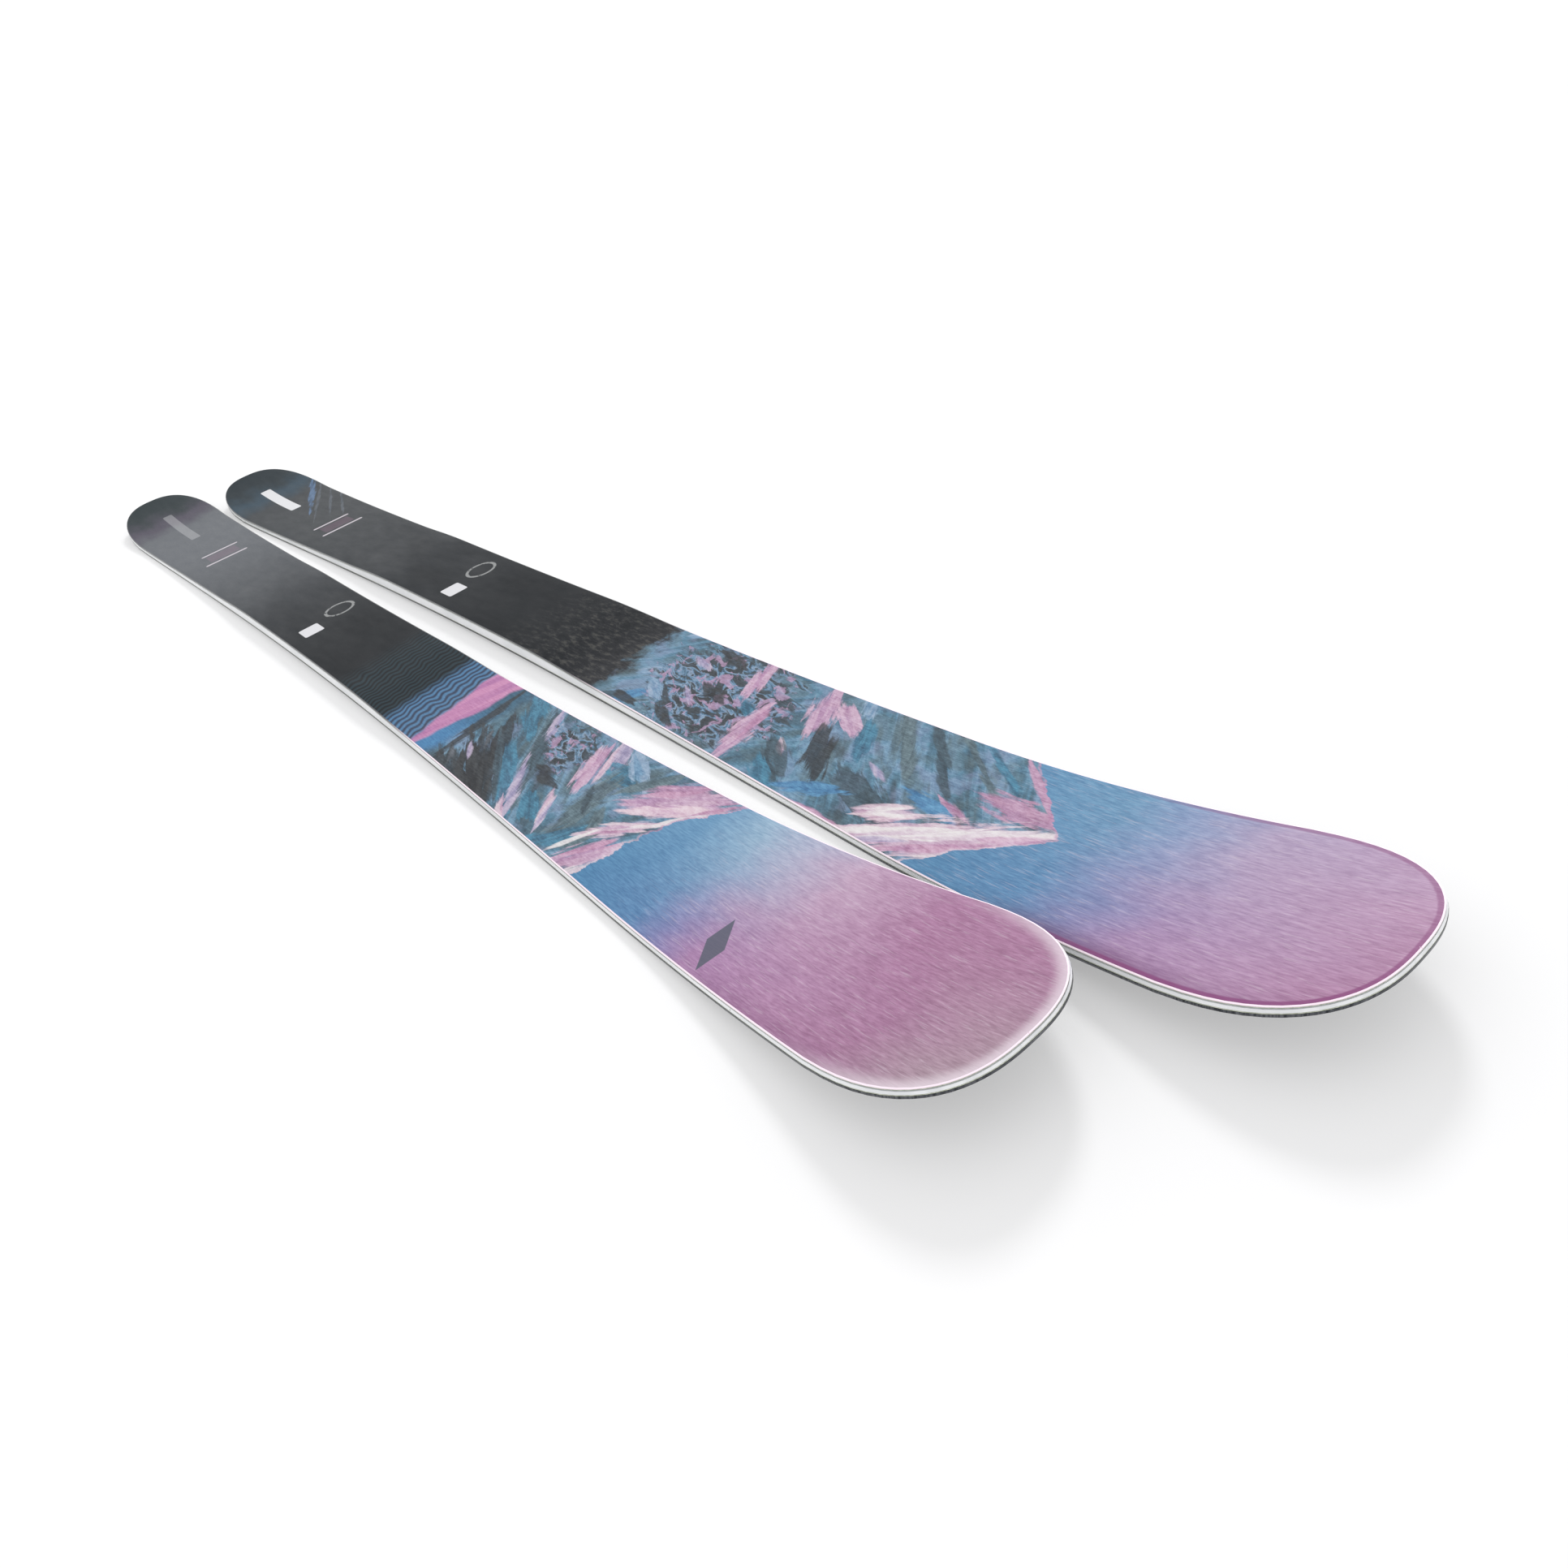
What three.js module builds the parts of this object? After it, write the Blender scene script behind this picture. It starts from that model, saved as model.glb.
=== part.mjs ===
// A pair of rockered alpine skis, lying base down side by side on the snow plane.
// Millimetres. +X runs towards the tips, +Y to the skier's left, +Z up.
// The origin is on the snow plane, under the middle of the pair.
import * as THREE from 'three';

// ---- driving dimensions: outline of one ski ----
const skiLength = 1720;
const tipWidth = 134;
const waistWidth = 97;
const tailWidth = 120.5;
const waistAt = 860; // distance from the tail end to the narrowest point
const sidecutShape = 0.22; // how much the side curve tightens towards the ends
const tipRoundLength = 90; // from the widest point to the tip end
const tailRoundLength = 140; // from the widest point to the tail end
const tipRoundness = 2.5; // 2 is an ellipse, larger is squarer
const tailRoundness = 2.6;
const bluntHalfAngle = 5; // degrees left off each rounded end, giving a short straight front

// ---- driving dimensions: side view of one ski ----
const rearContactAt = 215; // from the tail end
const frontContactAt = 1385;
const contactFlat = 12; // half length of the flat that meets the snow
const tipRise = 42;
const tipRiseShape = 2.05;
const tailRise = 19;
const tailRiseShape = 2.2;
const camber = 3;
const endThickness = 6;
const midThickness = 12.5;
const thicknessSpread = 420; // how far the thick middle reaches each way
const bindingAt = 800; // centre of the binding zone, from the tail end
const bindingFlat = 150; // half length of the level top under a binding
const bindingBlend = 120; // run-out of that level top

// ---- driving dimensions: the laminate ----
const glueLine = 0.15; // left open between stacked layers
const sideGap = 0.3; // left open between neighbours in one layer
const baseThickness = 1.2;
const edgeWidth = 2.2;
const edgeHeight = 1.9;
const edgeFlangeReach = 7;
const laminateThickness = 0.5;
const sidewallWidth = 7;
const sidewallFoot = 0.2; // sidewall set in from the edge at its foot
const sidewallLean = 1.0; // and at its top
const metalThickness = 0.4;
const topLaminateThickness = 0.4;
const topsheetThickness = 0.65;
const topsheetRim = 0.2; // upright rim below the bevel
const topsheetBevel = 1.4;
const tailSpacerLength = 112;
const tipSpacerLength = 158;
const stringerWidth = 17; // the three middle strips of the core
const plateThickness = 0.8;
const plateHalfLength = 210;
const plateInset = 14;

// ---- driving dimensions: the two skis on the snow ----
const skiSpacing = 129; // between the two centre lines at mid length
const stagger = 100; // the left ski lies this far ahead of the right one
const toeOut = 0.43; // degrees between the two centre lines, tips apart

// ---- materials ----
const finishes = {
  base: { color: 0x17181b, roughness: 0.45, metalness: 0 },
  steel: { color: 0x9a9da1, roughness: 0.3, metalness: 0.95 },
  rubber: { color: 0x1c1c1c, roughness: 0.85, metalness: 0 },
  glass: { color: 0xb9c4a6, roughness: 0.5, metalness: 0 },
  beech: { color: 0xc79a66, roughness: 0.7, metalness: 0 },
  poplar: { color: 0xe2cfa4, roughness: 0.75, metalness: 0 },
  sidewall: { color: 0xdedfe0, roughness: 0.4, metalness: 0 },
  alloy: { color: 0xb4b8bd, roughness: 0.35, metalness: 0.9 },
  topsheet: { color: 0x4b5f8c, roughness: 0.35, metalness: 0 },
};

const rad = (degrees) => (degrees * Math.PI) / 180;
const clamp01 = (value) => Math.min(1, Math.max(0, value));
const smooth = (value) => {
  const t = clamp01(value);
  return t * t * (3 - 2 * t);
};

// Half width of the sidecut curve at x, without the rounded ends.
function sidecutHalf(x) {
  const tipSide = x > waistAt;
  const reach = tipSide ? skiLength - tipRoundLength - waistAt : waistAt - tailRoundLength;
  const wide = tipSide ? tipWidth : tailWidth;
  const a = Math.min(1, Math.abs(x - waistAt) / reach);
  const rise = a * a * (1 + sidecutShape) - sidecutShape * a ** 4;
  return (waistWidth + (wide - waistWidth) * rise) / 2;
}

// Height of the underside above the snow at x.
function undersideCurve(x) {
  const frontStart = frontContactAt + contactFlat;
  const rearStart = rearContactAt - contactFlat;
  if (x >= frontStart) {
    return tipRise * ((x - frontStart) / (skiLength - frontStart)) ** tipRiseShape;
  }
  if (x <= rearStart) {
    return tailRise * ((rearStart - x) / rearStart) ** tailRiseShape;
  }
  const from = rearContactAt + contactFlat;
  const to = frontContactAt - contactFlat;
  const m = clamp01((x - from) / (to - from));
  return camber * Math.sin(Math.PI * m) ** 2;
}

// Height of the top face above the snow at x. It is level in the binding zone.
function topFaceCurve(x) {
  const swell = Math.exp(-(((x - bindingAt) / thicknessSpread) ** 2));
  const free = undersideCurve(x) + endThickness + (midThickness - endThickness) * swell;
  const level = undersideCurve(bindingAt) + midThickness;
  const away = smooth((Math.abs(x - bindingAt) - bindingFlat) / bindingBlend);
  return level + (free - level) * away;
}

// Left half of the plan outline, from the tail end to the tip end, as [x, y] points.
function planOutline() {
  const points = [];
  const endSteps = [bluntHalfAngle, 14, 24, 35, 47, 60, 70, 80];
  for (const step of endSteps) {
    const c = Math.cos(rad(step)) ** (2 / tailRoundness);
    const s = Math.sin(rad(step)) ** (2 / tailRoundness);
    points.push([tailRoundLength * (1 - c), sidecutHalf(tailRoundLength) * s]);
  }
  for (const x of sideStations()) {
    points.push([x, sidecutHalf(x)]);
  }
  for (const step of endSteps.slice().reverse()) {
    const c = Math.cos(rad(step)) ** (2 / tipRoundness);
    const s = Math.sin(rad(step)) ** (2 / tipRoundness);
    const wide = sidecutHalf(skiLength - tipRoundLength);
    points.push([skiLength - tipRoundLength * (1 - c), wide * s]);
  }
  return points;
}

// Stations along the straight-ish sides: close together where the ski bends up.
function sideStations() {
  const marks = [
    tailRoundLength,
    rearContactAt - contactFlat,
    rearContactAt + contactFlat,
    bindingAt - bindingFlat - bindingBlend,
    bindingAt - bindingFlat,
    bindingAt + bindingFlat,
    bindingAt + bindingFlat + bindingBlend,
    frontContactAt - contactFlat,
    frontContactAt + contactFlat,
    skiLength - tipRoundLength,
  ];
  const longest = [33, 60, 115, 62, 160, 62, 100, 60, 27];
  const stations = [marks[0]];
  for (let i = 1; i < marks.length; i += 1) {
    const run = marks[i] - marks[i - 1];
    const parts = Math.max(1, Math.ceil(run / longest[i - 1]));
    for (let k = 1; k <= parts; k += 1) {
      stations.push(marks[i - 1] + (run * k) / parts);
    }
  }
  return stations;
}

const outline = planOutline();

// Follows a height curve in straight runs between the outline's stations,
// so that every layer bends at the same places.
function inStraightRuns(curve) {
  const levels = outline.map(([x]) => [x, curve(x)]);
  return (x) => valueAt(levels, x);
}

// The second value of a list of pairs, read between its neighbours at x.
function valueAt(pairs, x) {
  let i = 1;
  while (i < pairs.length - 1 && x > pairs[i][0]) {
    i += 1;
  }
  const t = (x - pairs[i - 1][0]) / (pairs[i][0] - pairs[i - 1][0]);
  return pairs[i - 1][1] + (pairs[i][1] - pairs[i - 1][1]) * t;
}

const underside = inStraightRuns(undersideCurve);
const topFace = inStraightRuns(topFaceCurve);

// The outline moved inwards by a fixed distance, corner by corner.
function insetOutline(inset) {
  const normals = [];
  const loop = [[outline[0][0], -outline[0][1]], ...outline];
  const last = outline[outline.length - 1];
  loop.push([last[0], -last[1]]);
  for (let i = 0; i + 1 < loop.length; i += 1) {
    const dx = loop[i + 1][0] - loop[i][0];
    const dy = loop[i + 1][1] - loop[i][1];
    const size = Math.hypot(dx, dy);
    normals.push([dy / size, -dx / size]);
  }
  return outline.map(([x, y], i) => {
    const a = normals[i];
    const b = normals[i + 1];
    const share = inset / (1 + a[0] * b[0] + a[1] * b[1]);
    return [x + (a[0] + b[0]) * share, y + (a[1] + b[1]) * share];
  });
}

// The inset outline between two x values. Open ends keep the ski's own rounded end.
function sideLine(inset, from, to) {
  const points = insetOutline(inset);
  const line = [];
  if (from !== null) {
    line.push([from, valueAt(points, from)]);
  }
  outline.forEach(([x], i) => {
    const afterStart = from === null || x > from + 6;
    const beforeEnd = to === null || x < to - 6;
    if (afterStart && beforeEnd) {
      line.push(points[i]);
    }
  });
  if (to !== null) {
    line.push([to, valueAt(points, to)]);
  }
  return line;
}

// A closed skin over a row of rings that all have the same number of points.
function loft(rings, capStart) {
  const positions = [];
  const indices = [];
  const count = rings[0].length;
  for (const ring of rings) {
    for (const point of ring) {
      positions.push(point[0], point[1], point[2]);
    }
  }
  for (let r = 0; r + 1 < rings.length; r += 1) {
    for (let i = 0; i < count; i += 1) {
      const a = r * count + i;
      const b = r * count + ((i + 1) % count);
      indices.push(a, a + count, b + count);
      indices.push(a, b + count, b);
    }
  }
  const lastRing = (rings.length - 1) * count;
  for (let k = 1; k + 1 < count; k += 1) {
    const b = (capStart + k) % count;
    const c = (capStart + k + 1) % count;
    indices.push(capStart, b, c);
    indices.push(lastRing + capStart, lastRing + c, lastRing + b);
  }
  const geometry = new THREE.BufferGeometry();
  geometry.setAttribute('position', new THREE.Float32BufferAttribute(positions, 3));
  geometry.setIndex(indices);
  return geometry;
}

// Turns the skin inside out if its volume comes out negative.
function faceOut(geometry) {
  const p = geometry.getAttribute('position');
  const index = geometry.getIndex();
  const a = new THREE.Vector3();
  const b = new THREE.Vector3();
  const c = new THREE.Vector3();
  let volume = 0;
  for (let i = 0; i < index.count; i += 3) {
    a.fromBufferAttribute(p, index.getX(i));
    b.fromBufferAttribute(p, index.getX(i + 1));
    c.fromBufferAttribute(p, index.getX(i + 2));
    volume += a.dot(b.cross(c)) / 6;
  }
  if (volume < 0) {
    for (let i = 0; i < index.count; i += 3) {
      const keep = index.getX(i + 1);
      index.setX(i + 1, index.getX(i + 2));
      index.setX(i + 2, keep);
    }
  }
  return geometry;
}

// A layer that spans the whole width. Its half section is a list of corners,
// bottom to top, each with an inset from the outline and a height function.
function fullLayer(corners, from, to) {
  const lines = corners.map((corner) => sideLine(corner.inset, from, to));
  const rings = lines[0].map((unused, s) => {
    const left = corners.map((corner, k) => {
      const [x, y] = lines[k][s];
      return [x, y, corner.height(x)];
    });
    const right = left.map(([x, y, z]) => [x, -y, z]).reverse();
    return [...left, ...right];
  });
  return faceOut(loft(rings, 0));
}

// A strip that follows one side. Its section is a closed list of corners.
function sideStrip(corners, side, from, to, capStart) {
  const lines = corners.map((corner) => {
    const line = sideLine(corner.inset, from, to);
    if (from === null) {
      line.unshift([line[0][0], sideGap / 2]);
    }
    if (to === null) {
      line.push([line[line.length - 1][0], sideGap / 2]);
    }
    return line;
  });
  const rings = lines[0].map((unused, s) =>
    corners.map((corner, k) => {
      const [x, y] = lines[k][s];
      return [x, side * y, corner.height(x)];
    }),
  );
  return faceOut(loft(rings, capStart));
}

// A strip between two lines given as half widths, for the core.
function coreStrip(inner, outer, bottom, top, from, to, stations) {
  const rings = [from, ...stations, to].map((x) => [
    [x, inner(x), bottom(x)],
    [x, outer(x), bottom(x)],
    [x, outer(x), top(x)],
    [x, inner(x), top(x)],
  ]);
  return faceOut(loft(rings, 0));
}

const up = (height) => (x) => underside(x) + height;
const down = (depth) => (x) => topFace(x) - depth;

// Heights of the stack, counted up from the underside and down from the top face.
const fillerBottom = baseThickness + glueLine;
const laminateBottom = edgeHeight + glueLine;
const laminateTop = laminateBottom + laminateThickness;
const coreBottom = laminateTop + glueLine;
const upperLaminateDepth = topsheetThickness + glueLine;
const metalDepth = upperLaminateDepth + topLaminateThickness + glueLine;
const coreDepth = metalDepth + metalThickness + glueLine;
const stackInset = sidewallLean + 0.1;

function makeBase() {
  const inset = edgeWidth + sideGap;
  return fullLayer(
    [
      { inset, height: up(0) },
      { inset, height: up(baseThickness) },
    ],
    null,
    null,
  );
}

// An L section: the head that meets the snow and the thin anchor over the base.
function makeEdge(side) {
  return sideStrip(
    [
      { inset: 0, height: up(0) },
      { inset: 0, height: up(edgeHeight) },
      { inset: edgeFlangeReach, height: up(edgeHeight) },
      { inset: edgeFlangeReach, height: up(fillerBottom) },
      { inset: edgeWidth, height: up(fillerBottom) },
      { inset: edgeWidth, height: up(0) },
    ],
    side,
    null,
    null,
    4,
  );
}

function makeFiller() {
  const inset = edgeFlangeReach + sideGap;
  return fullLayer(
    [
      { inset, height: up(fillerBottom) },
      { inset, height: up(edgeHeight) },
    ],
    null,
    null,
  );
}

function makeLowerLaminate() {
  return fullLayer(
    [
      { inset: sidewallFoot, height: up(laminateBottom) },
      { inset: sidewallFoot, height: up(laminateTop) },
    ],
    null,
    null,
  );
}

const coreFrom = tailSpacerLength;
const coreTo = skiLength - tipSpacerLength;
const plateFrom = bindingAt - plateHalfLength;
const plateTo = bindingAt + plateHalfLength;

function makeSidewall(side) {
  return sideStrip(
    [
      { inset: sidewallFoot, height: up(coreBottom) },
      { inset: sidewallLean, height: down(coreDepth) },
      { inset: sidewallWidth, height: down(coreDepth) },
      { inset: sidewallWidth, height: up(coreBottom) },
    ],
    side,
    coreFrom,
    coreTo,
    0,
  );
}

function makeSpacer(from, to) {
  return fullLayer(
    [
      { inset: sidewallFoot, height: up(coreBottom) },
      { inset: sidewallLean, height: down(coreDepth) },
    ],
    from,
    to,
  );
}

// Stations for the core: the ski's own, plus a small step at each end of the plate.
function coreStations() {
  const own = outline.map(([x]) => x).filter((x) => x > coreFrom + 6 && x < coreTo - 6);
  const step = sideGap;
  const marks = [plateFrom - 2 * step, plateFrom - step, plateTo + step, plateTo + 2 * step];
  const clear = own.filter((x) => marks.every((mark) => Math.abs(mark - x) > 6));
  return [...clear, ...marks].sort((a, b) => a - b);
}

// The core is five lengthwise strips, counted from the skier's right to left.
// The middle three keep their width. The outer two take up the sidecut.
function makeStringer(index) {
  const shift = index - 2;
  const pitch = stringerWidth + sideGap;
  const middleHalf = stringerWidth / 2;
  const wall = insetOutline(sidewallWidth + sideGap);
  const step = sideGap;
  const underPlate = (x) => x > plateFrom - 1.5 * step && x < plateTo + 1.5 * step;
  const top = (x) => topFace(x) - coreDepth - (underPlate(x) ? plateThickness + glueLine : 0);
  const side = Math.sign(shift);
  if (Math.abs(shift) < 2) {
    const inner = () => shift * pitch - middleHalf;
    const outer = () => shift * pitch + middleHalf;
    return coreStrip(inner, outer, up(coreBottom), top, coreFrom, coreTo, coreStations());
  }
  const inner = () => side * (pitch + middleHalf + sideGap);
  const outer = (x) => side * valueAt(wall, x);
  return coreStrip(inner, outer, up(coreBottom), top, coreFrom, coreTo, coreStations());
}

// Sheet of alloy over the core that takes the binding screws.
function makeBindingPlate() {
  const wall = insetOutline(plateInset);
  const inner = (x) => -valueAt(wall, x);
  const outer = (x) => valueAt(wall, x);
  const bottom = down(coreDepth + plateThickness);
  const inside = outline.map(([x]) => x).filter((x) => x > plateFrom + 6 && x < plateTo - 6);
  return coreStrip(inner, outer, bottom, down(coreDepth), plateFrom, plateTo, inside);
}

function makeMetalSheet() {
  return fullLayer(
    [
      { inset: stackInset, height: down(metalDepth + metalThickness) },
      { inset: stackInset, height: down(metalDepth) },
    ],
    null,
    null,
  );
}

function makeUpperLaminate() {
  return fullLayer(
    [
      { inset: stackInset, height: down(upperLaminateDepth + topLaminateThickness) },
      { inset: stackInset, height: down(upperLaminateDepth) },
    ],
    null,
    null,
  );
}

function makeTopsheet() {
  return fullLayer(
    [
      { inset: stackInset, height: down(topsheetThickness) },
      { inset: stackInset, height: down(topsheetThickness - topsheetRim) },
      { inset: stackInset + topsheetBevel, height: down(0) },
    ],
    null,
    null,
  );
}

function makeMesh(name, geometry, finish) {
  const material = new THREE.MeshStandardMaterial({ ...finishes[finish] });
  const mesh = new THREE.Mesh(geometry, material);
  mesh.name = name;
  return mesh;
}

// One ski, as a group that carries its pieces to their place in the pair.
// The pieces are made with x counted from the tail end.
function makeSki(label, hand) {
  const pieces = [
    ['base', makeBase(), 'base'],
    ['edge_right', makeEdge(-1), 'steel'],
    ['edge_left', makeEdge(1), 'steel'],
    ['edge_filler', makeFiller(), 'rubber'],
    ['lower_laminate', makeLowerLaminate(), 'glass'],
    ['sidewall_right', makeSidewall(-1), 'sidewall'],
    ['sidewall_left', makeSidewall(1), 'sidewall'],
    ['tail_spacer', makeSpacer(null, coreFrom - sideGap), 'sidewall'],
    ['tip_spacer', makeSpacer(coreTo + sideGap, null), 'sidewall'],
  ];
  for (let index = 0; index < 5; index += 1) {
    const wood = index % 2 === 0 ? 'beech' : 'poplar';
    pieces.push([`core_strip_${index + 1}`, makeStringer(index), wood]);
  }
  pieces.push(['binding_plate', makeBindingPlate(), 'alloy']);
  pieces.push(['metal_sheet', makeMetalSheet(), 'alloy']);
  pieces.push(['upper_laminate', makeUpperLaminate(), 'glass']);
  pieces.push(['topsheet', makeTopsheet(), 'topsheet']);
  const ski = new THREE.Group();
  ski.name = `${label}_ski`;
  ski.position.set((hand * stagger) / 2, (hand * skiSpacing) / 2, 0);
  ski.rotation.z = (hand * rad(toeOut)) / 2;
  for (const [name, geometry, finish] of pieces) {
    const mesh = makeMesh(`${label}_${name}`, geometry, finish);
    mesh.position.x = -skiLength / 2;
    ski.add(mesh);
  }
  return ski;
}

const group = new THREE.Group();
group.name = 'skis';
group.add(makeSki('right', -1));
group.add(makeSki('left', 1));

export default group;
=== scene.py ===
import math
import bmesh
import bpy
from mathutils import Matrix, Vector


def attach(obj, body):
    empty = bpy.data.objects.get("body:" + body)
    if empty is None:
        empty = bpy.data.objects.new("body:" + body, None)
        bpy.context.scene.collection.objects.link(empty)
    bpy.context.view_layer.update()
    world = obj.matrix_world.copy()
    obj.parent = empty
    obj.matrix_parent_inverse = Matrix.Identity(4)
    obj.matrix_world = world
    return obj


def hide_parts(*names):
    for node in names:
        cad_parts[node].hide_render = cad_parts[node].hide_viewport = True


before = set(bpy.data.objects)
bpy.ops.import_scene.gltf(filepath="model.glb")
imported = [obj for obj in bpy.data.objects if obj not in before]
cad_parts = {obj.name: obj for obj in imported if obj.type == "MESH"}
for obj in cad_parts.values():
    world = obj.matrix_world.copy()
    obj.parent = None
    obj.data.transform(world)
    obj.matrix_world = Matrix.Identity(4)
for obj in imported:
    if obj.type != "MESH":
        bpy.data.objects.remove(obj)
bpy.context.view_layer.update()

print("frame loaded:", len(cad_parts), "nodes")

mm = 0.001  # the ski is described in millimetres, the scene is in metres


skiShape = {
    "length": 1720.0,
    "tipWidth": 134.0,
    "waistWidth": 97.0,
    "tailWidth": 120.5,
    "waistAt": 860.0,  # from the tail end
    "sidecutShape": 0.22,
    "tipRound": 90.0,  # widest point to tip end
    "tailRound": 140.0,
    "tipRoundness": 2.5,  # 2 is an ellipse, larger is squarer
    "tailRoundness": 2.6,
    "trim": 0.3,  # keeps the smooth outline inside the faceted frame
    "endTrim": 0.25,
    "cutMargin": 4.0,  # outline points this near to a square cut are left out
    "halfSeam": 0.06,  # each side strip stops this short of the centre line
    "rearContact": 215.0,
    "frontContact": 1385.0,
    "contactFlat": 12.0,
    "tipRise": 42.0,
    "tipRiseShape": 2.05,
    "tailRise": 19.0,
    "tailRiseShape": 2.2,
    "camber": 3.0,
    "endThickness": 6.0,
    "midThickness": 12.5,
    "thicknessSpread": 420.0,
    "bindingAt": 800.0,
    "bindingFlat": 150.0,
    "bindingBlend": 120.0,
}

pairLayout = {
    "spacing": 129.0,  # between the centre lines at mid length
    "stagger": 100.0,  # how far the left ski lies ahead
    "toeOut": 0.43,  # degrees between the two skis
}


def sidecutHalf(x):
    s = skiShape
    onTipSide = x > s["waistAt"]
    reach = s["length"] - s["tipRound"] - s["waistAt"] if onTipSide else s["waistAt"] - s["tailRound"]
    wide = s["tipWidth"] if onTipSide else s["tailWidth"]
    a = min(1.0, abs(x - s["waistAt"]) / reach)
    rise = a * a * (1 + s["sidecutShape"]) - s["sidecutShape"] * a ** 4
    return (s["waistWidth"] + (wide - s["waistWidth"]) * rise) / 2


def undersideAt(x):
    s = skiShape
    frontStart = s["frontContact"] + s["contactFlat"]
    rearStart = s["rearContact"] - s["contactFlat"]
    if x >= frontStart:
        return s["tipRise"] * ((x - frontStart) / (s["length"] - frontStart)) ** s["tipRiseShape"]
    if x <= rearStart:
        return s["tailRise"] * ((rearStart - x) / rearStart) ** s["tailRiseShape"]
    begin = s["rearContact"] + s["contactFlat"]
    end = s["frontContact"] - s["contactFlat"]
    m = min(1.0, max(0.0, (x - begin) / (end - begin)))
    return s["camber"] * math.sin(math.pi * m) ** 2


def topAt(x):
    s = skiShape
    swell = math.exp(-(((x - s["bindingAt"]) / s["thicknessSpread"]) ** 2))
    free = undersideAt(x) + s["endThickness"] + (s["midThickness"] - s["endThickness"]) * swell
    level = undersideAt(s["bindingAt"]) + s["midThickness"]
    t = min(1.0, max(0.0, (abs(x - s["bindingAt"]) - s["bindingFlat"]) / s["bindingBlend"]))
    away = t * t * (3 - 2 * t)
    return level + (free - level) * away


def makeOutline():
    # left half of the plan outline, tail to tip, each with its outward normal
    s = skiShape
    angles = [0.03, 0.25, 0.7, 1.6, 3, 5, 7.5, 10, 13, 16, 20, 24, 28, 33, 38, 43, 48, 54, 60, 66, 72, 78, 84]
    points = []
    for angle in angles:
        c = math.cos(math.radians(angle)) ** (2 / s["tailRoundness"])
        w = math.sin(math.radians(angle)) ** (2 / s["tailRoundness"])
        points.append((s["tailRound"] * (1 - c), sidecutHalf(s["tailRound"]) * w))
    begin, end = s["tailRound"], s["length"] - s["tipRound"]
    steps = 150
    for k in range(steps + 1):
        x = begin + (end - begin) * k / steps
        points.append((x, sidecutHalf(x)))
    for angle in reversed(angles):
        c = math.cos(math.radians(angle)) ** (2 / s["tipRoundness"])
        w = math.sin(math.radians(angle)) ** (2 / s["tipRoundness"])
        points.append((s["length"] - s["tipRound"] * (1 - c), sidecutHalf(end) * w))
    loop = [(points[0][0], -points[0][1])] + points + [(points[-1][0], -points[-1][1])]
    outline = []
    for k in range(1, len(loop) - 1):
        before = Vector(loop[k]) - Vector(loop[k - 1])
        after = Vector(loop[k + 1]) - Vector(loop[k])
        n1 = Vector((-before.y, before.x)).normalized()
        n2 = Vector((-after.y, after.x)).normalized()
        n = (n1 + n2).normalized()
        outline.append((loop[k][0], loop[k][1], n.x, n.y))
    return outline


outline = makeOutline()


def insetLine(inset, begin=None, end=None):
    # the outline moved inwards, cut off square where a piece starts or stops
    d = inset + skiShape["trim"]
    middle = skiShape["length"] / 2
    squeeze = 1 - skiShape["endTrim"] / middle
    line = [(middle + (x - nx * d - middle) * squeeze, y - ny * d) for x, y, nx, ny in outline]

    def halfAt(x):
        for a, b in zip(line, line[1:]):
            if a[0] <= x <= b[0]:
                return a[1] + (b[1] - a[1]) * (x - a[0]) / (b[0] - a[0])
        return line[-1][1]

    margin = skiShape["cutMargin"]
    first = 0 if begin is None else next(k for k, p in enumerate(outline) if p[0] > begin + margin)
    last = len(outline) if end is None else next(k for k, p in enumerate(outline) if p[0] > end - margin)
    kept = line[first:last]
    if begin is not None:
        kept = [(begin, halfAt(begin))] + kept
    if end is not None:
        kept = kept + [(end, halfAt(end))]
    return kept


def skiPlacement(hand):
    # hand is -1 for the right ski and 1 for the left one
    turn = Matrix.Rotation(hand * math.radians(pairLayout["toeOut"]) / 2, 4, "Z")
    ahead = hand * pairLayout["stagger"] / 2 * mm
    aside = hand * pairLayout["spacing"] / 2 * mm
    move = Matrix.Translation((ahead, aside, 0))
    return move @ turn @ Matrix.Translation((-skiShape["length"] / 2 * mm, 0, 0))


rimSearch = {"tipLength": 220.0, "farthest": 50.0, "behind": 60.0}


def distanceToRim(x, y):
    # millimetres in from the outline, worked out near the tip only
    best = rimSearch["farthest"]
    if x < skiShape["length"] - rimSearch["tipLength"]:
        return best
    for a, b in zip(outline, outline[1:]):
        if b[0] < x - rimSearch["behind"]:
            continue
        step = Vector((b[0] - a[0], b[1] - a[1]))
        rest = Vector((x - a[0], abs(y) - a[1]))
        share = min(1.0, max(0.0, rest.dot(step) / step.length_squared))
        best = min(best, (rest - share * step).length)
    return min(best, max(0.0, outline[-1][0] - x) if abs(y) < outline[-1][1] else best)


def endFaces(row, across):
    # one end of a piece: a ladder of faces over its width, or one face on a side strip
    if not across:
        return [row]
    side = (len(row) - 2 * (across - 1)) // 2
    left, right = row[:side], row[side + across - 1:2 * side + across - 1]
    top = [left[-1]] + row[side:side + across - 1] + [right[0]]
    bottom = [left[0]] + row[:2 * side + across - 2:-1] + [right[-1]]
    faces = [[top[j], top[j + 1], bottom[j + 1], bottom[j]] for j in range(across)]
    return faces + [left, right] if side > 2 else faces


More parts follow.
